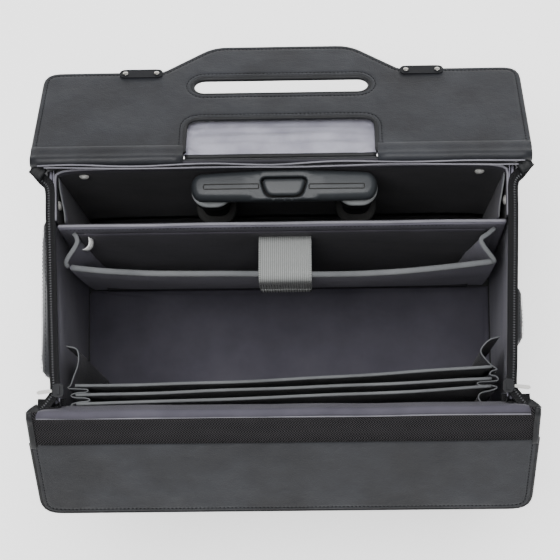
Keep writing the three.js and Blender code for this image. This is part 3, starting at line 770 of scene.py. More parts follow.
def flap_side(u, w):
    """The side view of a point on the rear flap, in y and z."""
    cos, sin = math.cos(REAR_OPEN), math.sin(REAR_OPEN)
    return HINGE_Y + cos * u - sin * w, REAR_HINGE_Z - sin * u - cos * w


def lid_side(u, w):
    cos, sin = math.cos(FRONT_OPEN), math.sin(FRONT_OPEN)
    return -HINGE_Y - cos * u + sin * w, RIM_Z - sin * u - cos * w


def build_rear_hinge():
    bodies = ("case", "rear_flap_assembly")
    inner = [(117.2, 372), (117.4, 378.6), (119.5, 381.4), (123.5, 382.3), flap_side(7, 0.5),
             flap_side(13, 0.2), flap_side(17, 0.5), flap_side(19.5, 1.6)]
    outer = [(123.1, 364), (123.2, 373), (124.3, 377), flap_side(6.5, 7.0), flap_side(13, 7.0),
             flap_side(20, 6.9)]
    for name, side in sides:
        span = (side * (CUT["half"] + 0.4), side * (LID_HALF - 1))
        for label, line, start, end in (("inner", inner, 119.5, 127), ("outer", outer, 123.6, 128.6)):
            hinge_strip(f"flap_hinge_{label}_{name}", *span, line, "leather", bodies, (start, REAR_HINGE_Z),
                        (end, REAR_HINGE_Z), 8 + side)


# ---- front lid, its herringbone band and its zip ends ----
LID = {"inner": 1.0, "outer": 5.5, "start": 33.4, "length": 133, "corner": 18}


def lid_outline():
    edge, length, corner = LID_HALF - 2, LID["length"], LID["corner"]
    right = [(LID_HALF, LID["start"]), (edge, length - corner)]
    right += list(bend(right[-1], (edge, length), (edge - corner, length)))
    return mirrored(right)


def build_front_lid():
    body = "front_lid_assembly"
    outline = lid_outline()
    faces = board(LID["inner"], LID["outer"], 2.0, 4.6, 0.4, 0.15, 0.14, 11, 90)
    lid = plate("front_lid_leather", outline, [], faces, on_front_lid, ["leather", "leather"], body)
    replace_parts(lid, "front_lid")
    loop = inset(resample(outline, 3, True), 4.6)
    for face, level in (("inner", LID["inner"] + 0.1), ("outer", LID["outer"] - 0.1)):
        seam(f"front_lid_stitches_{face}", [(loop, True)], on_front_lid, level, "thread", body)
    # Piping round the three free edges.
    edge = resample(outline, 4, True)
    free = edge[edge[:, 1] > LID["start"] + 1]
    free = free[np.argsort(np.arctan2(free[:, 0], free[:, 1] - LID["start"]))]
    middle = (LID["inner"] + LID["outer"]) / 2
    path = curved(on_front_lid(free[:, 0], free[:, 1], middle), 5 * MM)
    cordage("front_lid_piping", path, 2.3, "leather_edge", body)


def build_front_band():
    start, end = lid_side(0, 1), lid_side(12, 1)
    profile = [(-117.6, 371), (-118.2, 374.6), (-120.8, 375.9), lid_side(2.5, -0.4), lid_side(8, 0.4),
               lid_side(16, 0.9), lid_side(25, 0.8), lid_side(31, 0.7), lid_side(36.5, 0.2)]
    line = curved(profile, 1.8)
    xs = np.linspace(-LID_HALF + 2, LID_HALF - 2, 90)
    rows = []
    for i, (y, z) in enumerate(line):
        fade = math.sin(math.pi * i / (len(line) - 1))
        lift = 0.55 * fade * np.sin(i * 0.5 + 0.6 * wave(xs, 0, 160, 4))
        lift = lift + 0.3 * fade * wave(xs, i * 4, 50, 9)
        rows.append(case(xs, y - lift * 0.64, z + lift * 0.6))
    band = cloth("herringbone_band", rows, "webbing", thickness=1.0)
    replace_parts(band, "front_band")
    tuple(case(0, *start))
    tuple(case(0, *end))
    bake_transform(band)
    # A row of stitches joins the band to the lid's leather.
    low = [(np.array([(-LID_HALF + 5, 34.8), (LID_HALF - 5, 34.8)]), False)]
    seam("front_band_stitches", low, on_front_lid, -0.35, "thread", "front_lid_assembly", 3.4, 1.8, 0.6)
    across = np.linspace(-231, 231, 40)
    ridge = curved(case(across, -124.4 + 0.3 * wave(across, 0, 140, 2), 375.4), 5 * MM)
    # painted highlight: the rim edge is the lighter copy of the lining
    cordage("front_rim_edge", ridge, 0.8, "lining_edge", "case", 0.8)
    for name, side in sides:
        wrap_line = curved([(-118.6, 372), (-119.4, 376.0), lid_side(2, -1.6), lid_side(10, -0.9),
                            lid_side(24, -0.8), lid_side(35, -0.6), lid_side(42, 0.2)], 2.2)
        xs = side * np.linspace(LID_HALF - 5.5, LID_HALF + 0.2, 6)
        crown = np.array([0, 0.7, 0.9, 0.9, 0.5, -1.2])
        wrap = cloth(f"band_end_wrap_{name}", [case(xs, y, z + crown) for y, z in wrap_line],
                     "leather_edge", thickness=1.0)
        tuple(case(0, *start))
        tuple(case(0, *end))
        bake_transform(wrap)


# ---- satin cover over the trolley ----
COVER = {"half": 96, "far_half": 91, "length": 53, "dip": 1.4, "outside": 64, "floor": -2.3}


def build_cover():
    rows, columns = 30, 70
    us = np.linspace(0.5, COVER["length"], rows)
    share = np.linspace(-1, 1, columns)
    a, b = np.meshgrid(share, us)
    far = np.clip((b - 18) / 24, 0, 1)
    far = far * far * (3 - 2 * far)
    xs = a * (COVER["half"] - (COVER["half"] - COVER["far_half"]) * far)
    swell = np.sin(math.pi * np.clip(b / 50, 0, 1)) ** 0.8 * np.cos(a * 1.4)
    folds = 0.9 * np.sin(b * 0.5 + 0.8 * wave(xs, 0 * b, 100, 21)) + 0.5 * wave(xs * 0.5, b * 1.6, 34, 22)
    sides_down = -1.2 * np.abs(a) ** 14 * far
    end_down = -COVER["dip"] * np.clip((b - 44) / 9, 0, 1) ** 1.6
    points = on_cover(xs, b, -0.6 + 3.6 * swell + folds * 0.8 * (0.4 + 0.6 * swell) + sides_down + end_down)
    cover = cloth("satin_cover", points, "satin", "cover", 0.5)
    edge = (np.isclose(b, b.min()) | np.isclose(b, b.max())).ravel()
    ends = (np.abs(a) > 0.99).ravel() & (np.arange(a.size) // columns % 5 == 0)
    settle(cover, edge | ends, 24, 0, 0.06, 0.05, 3.0, 0.25)
    # The cloth lies on its dark outside, so no part of it sinks below.
    upward = on_cover(0, 0, 1) - on_cover(0, 0, 0)
    shaped = places(cover.data)
    level = (shaped - on_cover(0, 0, 0)) @ upward / MM ** 2
    shaped += np.clip(COVER["floor"] - level, 0, None)[:, None] * upward
    cover.data.vertices.foreach_set("co", shaped.astype(np.float32).ravel())
    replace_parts(cover, "trolley_cover")
    # The dark outside of the cover shows as a rim round the satin.
    neck, wide, end = CUT["half"] - 0.7, COVER["half"] + 2, COVER["outside"] + 1
    half = [(neck, 0), (neck, 18), (wide, 26), (wide, end - 9)]
    half += list(bend((wide, end - 9), (wide, end), (wide - 9, end)))
    backing = plate("cover_backing", mirrored(half), [], board(-3.9, -3.1, 0.8, 0, 0, 0, 0), on_cover,
                    ["leather", "leather_edge"], "cover", 12, (0.5, 1.4, 3, 4.5))
    hinge = np.linspace(-92, 92, 40)
    binding = case(hinge, COVER_Y - 0.4, COVER_Z - 1.4 + 0.3 * wave(hinge, 0, 60, 19))
    cordage("satin_cover_binding", curved(binding, 4 * MM), 2.3, "leather_edge", "cover", 0.8)


# ---- walls ----
def build_walls():
    end = HINGE_Y - BOARD - 0.4

    def front_place(x, z, w):
        return case(x, -HINGE_Y + w, z)

    def rear_place(x, z, w):
        return case(x, HINGE_Y - w, z)

    top = RIM_Z - 3
    shape = [(-PANEL_HALF, BOTTOM_Z), (PANEL_HALF, BOTTOM_Z), (PANEL_HALF, top), (-PANEL_HALF, top)]
    faces = board(0, BOARD, 2.2, 5.5, 0.4, 0.0, 0.12, 31, 120)
    front = plate("front_wall", shape, [], faces, front_place, ["leather", "lining"], "case", 16)
    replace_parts(front, "front_panel")
    loop = np.array(oblong(2 * PANEL_HALF - 11, top - BOTTOM_Z - 11, 3, 0, (top + BOTTOM_Z) / 2))
    seam("front_wall_stitches", [(loop, True)], front_place, 0.15, "thread", "case")

    top, low, near, far = REAR_HINGE_Z - 4, 62.4, 163.6, 223.4
    half = [(near, BOTTOM_Z), (near, low), (far, low), (far, BOTTOM_Z), (PANEL_HALF, BOTTOM_Z),
            (PANEL_HALF, top)]
    shape = mirrored(half)
    faces = board(0, BOARD, 2.2, 5.5, 0.4, 0.0, 0.12, 33, 120)
    # painted shade: the back wall's lining is the darkest copy, painted as if in deep shade
    rear = plate("back_wall", shape, [], faces, rear_place, ["leather", "lining_dark"], "case", 16)
    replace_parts(rear, "rear_panel")
    loop = inset(resample(shape, 3, True), 5.5)
    sleeve = np.array(oblong(236, 250, 10, 0, 208))
    seam("back_wall_stitches", [(loop, True), (sleeve, True)], rear_place, 0.1, "thread", "case")

    for name, side in sides:
        def side_place(y, z, w, side=side):
            return case(side * (wall_half(y, z) - w), y, z)

        shape = [(-end, BOTTOM_Z), (end, BOTTOM_Z), (end, SIDE_TOP_Z), (SIDE_FRONT_Y, SIDE_TOP_Z)]
        faces = board(0, BOARD, 2.0, 5.5, 0.35, 0.0, 0.35, 40 + side, 110)
        # painted light: the side walls' lining is a paler copy, painted as if lit
        looks = ["leather", "lining_pale"]
        wall = plate(f"side_wall_{name}", shape, [], faces, side_place, looks, "case", 14)
        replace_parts(wall, f"{name}_side_panel")
        loop = inset(resample(shape, 3, True), 5.5)
        seam(f"side_wall_stitches_{name}", [(loop, True)], side_place, 0.1, "thread", "case")
        # Piping down the two outer corners.
        corners = (("front", -HINGE_Y + 1.6, RIM_Z - 4), ("rear", HINGE_Y - 1.6, REAR_HINGE_Z - 6))
        for label, y, high in corners:
            zs = np.linspace(BOTTOM_Z + 1, high, 40)
            path = case(side * (PANEL_HALF - 0.6), y, zs)
            cordage(f"corner_piping_{label}_{name}", path, 2.4, "leather_edge", "case", up=(0, 1, 0))
    xs = np.linspace(-PANEL_HALF + 1, PANEL_HALF - 1, 60)
    cordage("base_piping_front", case(xs, -HINGE_Y + 1, BOTTOM_Z + 1), 2.2, "leather_edge", "case")


# ---- zips along the rim ----
TAPE = {"half": 4.9, "slope": 0.62, "low": SIDE_TOP_Z + 4.2, "inset": 2.9}


def zip_line(side):
    """The middle of a rim zip's tape seen from above, with both ends turned outwards."""
    points = [(238.5, 118.5), (234.5, 114), (229.5, 108)]
    points += [(rim_half(y) - TAPE["inset"], y) for y in (99, 70, 0, -70, -97)]
    points += [(221, -107), (226.5, -113.5), (234, -119)]
    return curved([(side * x, y) for x, y in points], 3.0)


def along_zip(line, side):
    """For each point of a zip's line: its direction, the way out of the case, its height and its turn."""
    ahead = np.gradient(line, axis=0)
    ahead /= np.linalg.norm(ahead, axis=1)[:, None]
    out = np.stack([-ahead[:, 1], ahead[:, 0]], -1)
    out *= np.where(out[:, :1] * side > 0, 1, -1)
    turned = np.clip((np.abs(line[:, 0]) - 226) / 12, 0, 1)
    height = TAPE["low"] + 0.5 * wave(line[:, 1], 0, 90, 3 + side) + turned * 5
    return ahead, out, height, turned


def build_zips():
    half = TAPE["half"]
    steps = np.linspace(-half, half, 9)
    for name, side in sides:
        line = zip_line(side)
        ahead, out, height, turned = along_zip(line, side)
        rows = []
        for (x, y), (ox, oy), z, turn in zip(line, out, height, turned):
            slope = -TAPE["slope"] * (1 - 0.7 * turn)
            across = np.append(steps, (half - 0.3, half - 1.4))
            rise = np.append(slope * steps + 0.35 * np.cos(steps), (slope * half - 3.5, slope * half - 8))
            rows.append(case(x + ox * across, y + oy * across, z + rise))
        tape = cloth(f"zip_tape_{name}", rows, "zip_tape", "case", 0.9)
        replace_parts(tape, f"rim_zip_{name}")
        ys = np.linspace(SIDE_FRONT_Y + 1, HINGE_Y - BOARD - 1.4, 50)
        inward, heights = np.array([5.7, 6.3, 7.2]), np.array([342, 353, 363])
        rows = [case(side * (rim_half(y) - inward), y, heights) for y in ys]
        # painted light: this lining strip is the paler copy, painted as if lit
        cloth(f"side_lining_edge_{name}", rows, "lining_pale", "case", 0.9)
        # The teeth stand in a row along the outer half of the tape.
        line = resample(line, 2.5)
        ahead, out, height, _ = along_zip(line, side)
        points, faces = [], []
        for (x, y), (ax, ay), (ox, oy), z in zip(line, ahead, out, height):
            centre = np.array([x + ox * 1.4, y + oy * 1.4, z - 0.1])
            long, wide, up = np.array([ox, oy, -TAPE["slope"]]), np.array([ax, ay, 0]), np.array([0, 0, 1.0])
            n = len(points)
            points += [centre - long * 1.5, centre + long * 1.5, centre - wide * 0.8, centre + wide * 0.8,
                       centre + up * 1.1, centre - up * 0.8]
            for a, b in ((0, 2), (2, 1), (1, 3), (3, 0)):
                faces += [(n + a, n + b, n + 4), (n + b, n + a, n + 5)]
        points = np.array(points)
        make(f"zip_coil_{name}", case(*points.T), faces, "zip_coil", "case", outward=False)
        # A folded leather tab closes each end of the tape.
        tabs = (("rear", (236, 116), (229, 111), 372), ("front", (236.5, -121), (227, -113), 369))
        for label, tip, root, z in tabs:
            (x0, y0), (x1, y1) = tip, root
            along = np.array([x1 - x0, y1 - y0], float)
            along /= np.linalg.norm(along)
            across = np.array([-along[1], along[0]])
            rows = []
            for t in np.linspace(-2, 11, 8):
                wide = 6.4 - 0.12 * abs(t - 4)
                span = np.linspace(-wide, wide, 7)
                lift = 1.6 * (1 - (span / wide) ** 2) + 0.5 * math.sin(t)
                x = side * (x0 + along[0] * t + across[0] * span)
                y = y0 + along[1] * t + across[1] * span
                rows.append(case(x, y, z + lift - 0.1 * t))
            cloth(f"zip_end_tab_{label}_{name}", rows, "leather_edge", "case", 1.1)
        dress(f"zip_slider_{name}", "black_metal", 0.5)
        slim_pull(name)


def slim_pull(name, share=0.6, droop=0.42):
    """The zip pull, narrower across than its CAD tab and hanging down outwards."""
    node = frame["nodes"][f"zip_pull_{name}"]
    points = np.array([node.matrix_world @ v.co for v in node.data.vertices])
    middle = (points[:, 1].max() + points[:, 1].min()) / 2
    points[:, 1] = middle + (points[:, 1] - middle) * share
    reach = np.abs(points[:, 0]) - np.abs(points[:, 0]).min()
    points[:, 2] -= droop * reach
    faces = [tuple(f.vertices) for f in node.data.polygons]
    pull = make(f"zip_pull_tab_{name}", points, faces, "nickel", f"pull_{name}")
    pull.data.polygons.foreach_set("use_smooth", [False] * len(faces))
    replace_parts(pull, f"zip_pull_{name}")


def build_corner_webs():
    """The loose cloth that closes the gap between a side wall and the front wall."""
    for name, side in sides:
        wall = -HINGE_Y + BOARD + 0.4
        half, front = SIDE_FRONT_HALF, SIDE_FRONT_Y
        high = [(half - 4, front + 5), (half - 9, front - 3), (half - 2, front - 5), (half + 7, wall + 3.5),
                (PANEL_HALF - 5, wall + 0.8)]
        low = [(half + 3, front - 1), (half + 2, front - 4), (half + 4, front - 6), (half + 5, wall + 2),
               (PANEL_HALF - 14, wall + 0.6)]
        top, bottom = (curved([(side * x, y, z) for x, y in line], 2.6)
                       for line, z in ((high, 366), (low, 255)))
        bottom = resample(bottom, 1)
        share = np.linspace(0, 1, len(top))
        where = np.linspace(0, 1, len(bottom))
        bottom = np.stack([np.interp(share, where, bottom[:, i]) for i in range(3)], -1)
        rows = lerp_rows(top, bottom, 14)
        web = cloth(f"corner_web_{name}", in_case(rows), "zip_tape", "case", 0.9)
        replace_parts(web, f"front_corner_web_{name}")
        # The slack of the web lies folded across the corner.
        xs, ys = np.meshgrid(np.linspace(206, 233, 12), np.linspace(-103, -116.6, 8))
        zs = 351 + 1.2 * wave(xs, ys, 16, 97)
        cloth(f"corner_fold_{name}", case(side * xs, ys, zs), "zip_tape", "case", 0.9)


# ---- inside: floor, divider, rear compartment ----
def build_floor():
    body = "case"
    low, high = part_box("floor_pad")
    half = high.x / MM - 0.6
    back, front = high.y / MM - MIDDLE_Y, low.y / MM - MIDDLE_Y + 0.6

    def place(x, y, w):
        return case(x, y, low.z / MM + w)

    shape = [(-half, front), (half, front), (half, back), (-half, back)]
    faces = board(0, 3.2, 1.6, 9.0, 0.5, 0.6, 0.3, 51, 130)
    # painted shade: the floor liner is a darker copy of the lining, painted as if shaded
    pad = plate("floor_liner", shape, [], faces, place, ["lining_mid", "lining_mid"], body, 12)
    settle(pad, places(pad.data)[:, 2] < low.z + 0.0016, 14, 1.5, 0, 0, 2.0)
    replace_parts(pad, "floor_pad")
    dress("base_board", "moulding", 1.0)


DIVIDER = {"front": 59, "back": 65, "top": 360, "low": 39.6}


def build_divider():
    low_half, top_half = 221, 215

    def place(x, z, w):
        return case(x, DIVIDER["front"] + w, z)

    shape = [(-low_half, DIVIDER["low"]), (low_half, DIVIDER["low"]), (top_half, DIVIDER["top"] - 1),
             (-top_half, DIVIDER["top"] - 1)]
    faces = board(0.4, 5.6, 2.4, 7.5, 0.5, 0.5, 0.35, 61, 120)
    # painted shade: the divider's back is the darkest copy of the lining, painted as if in deep shade
    wall = plate("divider", shape, [], faces, place, ["lining", "lining_dark"], "case", 12)
    x, _, z = np.abs(places(wall.data)).T / MM
    settle(wall, (z > DIVIDER["top"] - 9) | (z < 52) | (x > 208), 14, 1.2, 0, 0, 2.5)
    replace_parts(wall, "rear_divider")
    xs = np.linspace(-top_half + 1, top_half - 1, 60)
    top = case(xs, DIVIDER["front"] + 3 + 0.4 * wave(xs, 0, 150, 12), DIVIDER["top"] - 0.3)
    # painted highlight: the divider's top edge is the lighter copy of the lining
    cordage("divider_top_edge", curved(top, 5 * MM), 1.5, "lining_edge", "case", 0.8)
    rows = [(np.array([(-top_half + 4, DIVIDER["top"] - 8), (top_half - 4, DIVIDER["top"] - 8)]), False)]
    seam("divider_stitches", rows, place, 0.6, "thread", "case")


def build_rear_compartment():
    """The lining bag behind the divider, with its bound rim, its loose flaps and four snaps."""
    half = [(216.0, 67), (216.6, 90), (216.8, 107), (215.6, 111.6), (210, 114), (196, 115.8), (150, 116.6),
            (60, 116.6)]
    rim = [(-x, y) for x, y in half] + half[::-1]
    line = curved(rim, 5)
    z = 363 + 3.0 * np.clip((line[:, 1] - 104) / 10, 0, 1) + 0.8 * wave(line[:, 0], line[:, 1], 120, 14)
    top = np.stack([line[:, 0], line[:, 1], z], -1)
    low = np.stack([line[:, 0] * 1.008, line[:, 1], np.full(len(line), 120.0)], -1)
    rows = lerp_rows(top, low, 16)
    rows[..., 1] -= 0.2 * (1 + wave(rows[..., 0], rows[..., 2], 60, 15))
    # painted shade: the rear bag is the darkest copy of the lining, painted as if in deep shade
    cloth("rear_lining_bag", in_case(rows), "lining_dark", "case", 0.8)
    # painted highlight: the bag's rim is the lighter copy of the lining
    cordage("rear_lining_rim", case(*top.T), 1.2, "lining_edge", "case", 0.9)
    # The loose inner flap of the lining by each side wall.
    for name, side in sides:
        edge = curved([(side * x, y, z) for x, y, z in (
            (214.5, 110, 355), (213.2, 100, 357), (211, 88, 356), (209, 76, 353), (208.6, 67.5, 350))], 3)
        foot = edge + np.array([side * -3, 0, -230])
        rows = lerp_rows(edge, foot, 14)
        # painted shade: these flaps are the darker copy of the lining, painted as if shaded
        cloth(f"rear_lining_flap_{name}", in_case(rows), "lining_mid", "case", 0.8)
        cordage(f"rear_lining_flap_edge_{name}", case(*edge.T), 0.75, "binding", "case")
    # The wall's own lining meets the flap's hinge in two thin wavy edges.
    for number, (y, z, seed, radius) in enumerate(((116.2, 380.6, 17, 0.8), (113.6, 378.4, 18, 0.7))):
        xs = np.linspace(-232 + 6 * number, 232 - 6 * number, 70)
        path = case(xs, y + 0.9 * wave(xs, 0, 110, seed), z + 0.4 * wave(xs, 5, 70, seed))
        # painted highlight: these hinge edges are the lighter copy of the lining
        cordage(f"rear_rim_edge_{number + 1}", curved(path, 5 * MM), radius, "lining_edge", "case")
    for name, side in sides:
        snap_dome(f"rear_snap_dome_{name}", f"rear_snap_{name}", (0, -1, 0.25), 0.6)
        snap_dome(f"side_snap_dome_{name}", f"side_snap_{name}", (-side, 0, 0.25), 2.4)


def snap_dome(name, node, facing, proud):
    """A domed press stud with a raised ring, standing on the place of its CAD node."""
    low, high = (np.array(corner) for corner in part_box(node))
    facing = np.array(facing, float) / np.linalg.norm(facing)
    side = np.cross(facing, (0, 0, 1))
    side /= np.linalg.norm(side)
    lift = np.cross(side, facing)
    centre = (low + high) / 2 + facing * proud * MM
    turns = np.linspace(0, 2 * math.pi, 24, endpoint=False)
    levels = [(4.6, -0.6), (4.7, 0.4), (4.2, 1.1), (3.7, 1.1), (3.3, 0.8), (2.9, 1.2), (2.1, 1.8),
              (1.1, 2.1), (0.3, 2.2)]
    points = [centre + (np.cos(t) * side + np.sin(t) * lift) * r * MM + facing * h * MM
              for r, h in levels for t in turns]
    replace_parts(make(name, points, ring_faces(len(levels), len(turns)), "nickel", "case"), node)


# ---- laptop pocket ----
POCKET = {"low": 60, "top": 338, "top_y": 14, "low_y": 48}


def pocket_face(x, z):
    """How far back the pocket's front face is; its top edge sags forwards in the middle."""
    share = (z - POCKET["low"]) / (POCKET["top"] - POCKET["low"])
    straight = POCKET["low_y"] + share * (POCKET["top_y"] - POCKET["low_y"])
    sag = 10.5 * np.clip(np.abs(x) / 205, 0, 1.05) ** 2.6 - 0.8
    return straight + sag * np.clip(share, 0, 1) ** 2 + 0.7 * share * wave(x, 0, 150, 23)


def build_laptop_pocket():
    def place(x, z, w):
        return case(x, pocket_face(x, z) + w, z)

    shape = [(-216, POCKET["low"]), (216, POCKET["low"]), (206, POCKET["top"]), (-206, POCKET["top"])]
    faces = board(0.3, 4.6, 2.0, 8.5, 0.7, 0.9, 0.5, 71, 90)
    # painted light: the pocket's front face is the paler copy of the lining, painted as if lit
    panel = plate("laptop_pocket_front", shape, [], faces, place, ["lining_pale", "lining"], "case", 12)
    x, _, z = np.abs(places(panel.data)).T / MM
    settle(panel, (z > POCKET["top"] - 12) | (z < 72) | (x > 199), 16, 1.6, 0, 0, 4.0)
    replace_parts(panel, "laptop_pocket_panel")
    xs = np.linspace(-204, 204, 70)
    hem = case(xs, pocket_face(xs, POCKET["top"]) + 2.4, POCKET["top"] + 0.8 + 0.5 * wave(xs, 0, 60, 24))
    cordage("laptop_pocket_hem", curved(hem, 5 * MM), 3.0, "binding", "case", 0.62)
    rows = [(np.array([(-203, POCKET["top"] - 9), (203, POCKET["top"] - 9)]), False)]
    seam("laptop_pocket_stitches", rows, place, 0.5, "thread", "case")
    # Cloth inside the pocket that hangs in soft diagonal folds off the divider.
    xs, zs = np.meshgrid(np.linspace(-196, 196, 70), np.linspace(350, 90, 30))
    deep = (350 - zs) / 260
    folds = 4.5 * wave(xs + zs * 0.9, zs * 0.15, 110, 26) * np.sin(math.pi * np.clip(deep, 0, 1))
    in_front = DIVIDER["front"] - 3.2
    ys = np.minimum(in_front - 14 * deep ** 1.2 + folds, in_front)
    # painted shade: the cloth inside the pocket is the darkest copy of the lining, painted as if in deep
    # shade
    cloth("laptop_pocket_lining", case(xs, ys, zs), "lining_dark", "case", 0.7)
    for name, side in sides:
        if side < 0:
            edge = [(201, 58.2, 344), (198.5, 54, 345), (197.5, 49, 346), (201, 42, 346), (206.5, 34, 344.5),
                    (208.5, 29, 342), (206.5, 25.5, 339.5)]
        else:
            edge = [(205, 58, 344), (198, 52, 345), (191.5, 47, 346), (193, 41, 346), (199, 33, 344),
                    (203, 28, 341.5), (204, 25, 339.5)]
        line = curved([(side * x, y, z) for x, y, z in edge], 2.2)
        share = np.linspace(0, 1, len(line))
        inward = 30 * np.sin(math.pi * np.clip(share * 0.9 + 0.05, 0, 1))
        foot = np.stack([side * (213 - inward), 58 - share * 10, np.full(len(line), 96.0)], -1)
        rows = lerp_rows(line, foot, 22)
        hollow = np.sin(np.linspace(0, math.pi, 22))[:, None]
        rows[..., 0] -= side * 7 * hollow * np.sin(math.pi * share)[None]
        rows[..., 0] += 0.8 * wave(rows[..., 1], rows[..., 2], 38, 27)
        gusset = cloth(f"laptop_gusset_cloth_{name}", in_case(rows), "lining",
                       "case", 0.9)
        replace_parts(gusset, f"laptop_gusset_{name}")
        cordage(f"laptop_gusset_edge_{name}", case(*line.T), 2.3, "binding", "case", 0.42, up=(0, 0, 1))

        def along_edge(a, b, w, line=line):
            reach = np.concatenate([[0], np.cumsum(np.linalg.norm(np.diff(line, axis=0), axis=1))])
            centre = [np.interp(a, reach, line[:, i]) for i in range(3)]
            return case(centre[0] + b, centre[1], centre[2] + w)

        zigzag = np.array([(s, 1.3 * (-1) ** i) for i, s in enumerate(np.arange(1.5, 36, 1.9))])
        seam(f"laptop_gusset_stitches_{name}", [(zigzag, False)], along_edge, 1.0, "thread_light", "case",
             1.6, 1.5, 0.5, 0.25)
    # A blank care label, folded over, on the left gusset.
    turn = np.linspace(-1.2, 1.5, 10)
    rows = [case(-193.5 + (342 - z) * 0.4 + 7 * np.cos(turn), 50.5 - 8.2 * np.sin(turn), z)
            for z in (342, 339, 336, 333)]
    cloth("care_label", rows, "label", "case", 0.3)


STRAP = {"half": 25, "front": 9.2, "middle": 2.8}


def build_strap():
    profile = [(57.2, 300), (57.0, 318), (54.5, 328), (48, 334), (38, 337), (28, 339), (20.5, 341.6),
               (14.5, 341.8), (10.4, 339.5), (9.4, 333), (9.3, 318), (9.2, 300), (9.2, 286)]
    line = curved(profile, 3)
    rows = []
    for i, (y, z) in enumerate(line):
        narrow = 0.6 * max(0, i - len(line) * 0.6) / len(line)
        xs = STRAP["middle"] + np.linspace(-STRAP["half"], STRAP["half"], 19) * (1 - narrow * 0.1)
        sag = 0.6 * np.cos(np.linspace(-1.5, 1.5, 19)) * math.sin(math.pi * i / len(line))
        rows.append(case(xs, y, z - sag))
    strap = cloth("strap_webbing", rows, "strap", thickness=1.7)
    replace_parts(strap, "laptop_strap", "laptop_strap_tab")
    tuple(case(0, 15.5, 341))
    tuple(case(0, 9.6, 341))
    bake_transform(strap)

    def face(x, z, w):
        return case(x, STRAP["front"] - w, z)

    half = STRAP["half"] - 1
    across = STRAP["middle"] + np.linspace(-half - 0.4, half + 0.4, 12)
    hem = ((299, 1.0), (296, 1.7), (290, 1.8), (286.5, 1.7), (284.6, 0.6))
    cloth("strap_hem", [case(across, STRAP["front"] - d, z) for z, d in hem], "strap", "strap_tab", 1.0)
    ends = (STRAP["middle"] - half, STRAP["middle"] + half)
    rows = [(np.array([(ends[0], z), (ends[1], z)]), False)
            for z in (330, 322, 314, 306, 298, 294.5, 291, 287.5)]
    seam("strap_hem_stitches", rows, face, 2.3, "thread", "strap_tab", 2.6, 1.6, 0.7, 0.3)
    for name, side in sides:
        path = [case(STRAP["middle"] + side * (STRAP["half"] - 0.5), y, z) for y, z in line]
        edge = cordage(f"strap_selvedge_{name}", curved(np.array(path), 3 * MM), 1.15, "strap")
        tuple(case(0, 15.5, 341))
        tuple(case(0, 9.6, 341))
        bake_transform(edge)


# ---- file dividers at the front ----
FILES = {"half": 199, "low": 46, "top": 340}
FILE_LINES = ((-89.5, -85.6, -75.5), (-98.3, -93.8, -87.2), (-107.0, -102.6, -94.6))


def file_y(i, x, z):
    left, middle, right = FILE_LINES[i]
    t = x / FILES["half"]
    top = middle + (right - left) / 2 * t + ((left + right) / 2 - middle) * t ** 2
    fall = (FILES["top"] - z) / (FILES["top"] - FILES["low"])
    return top + 1.2 * fall + 0.5 * wave(x, z, 130, 81 + i)


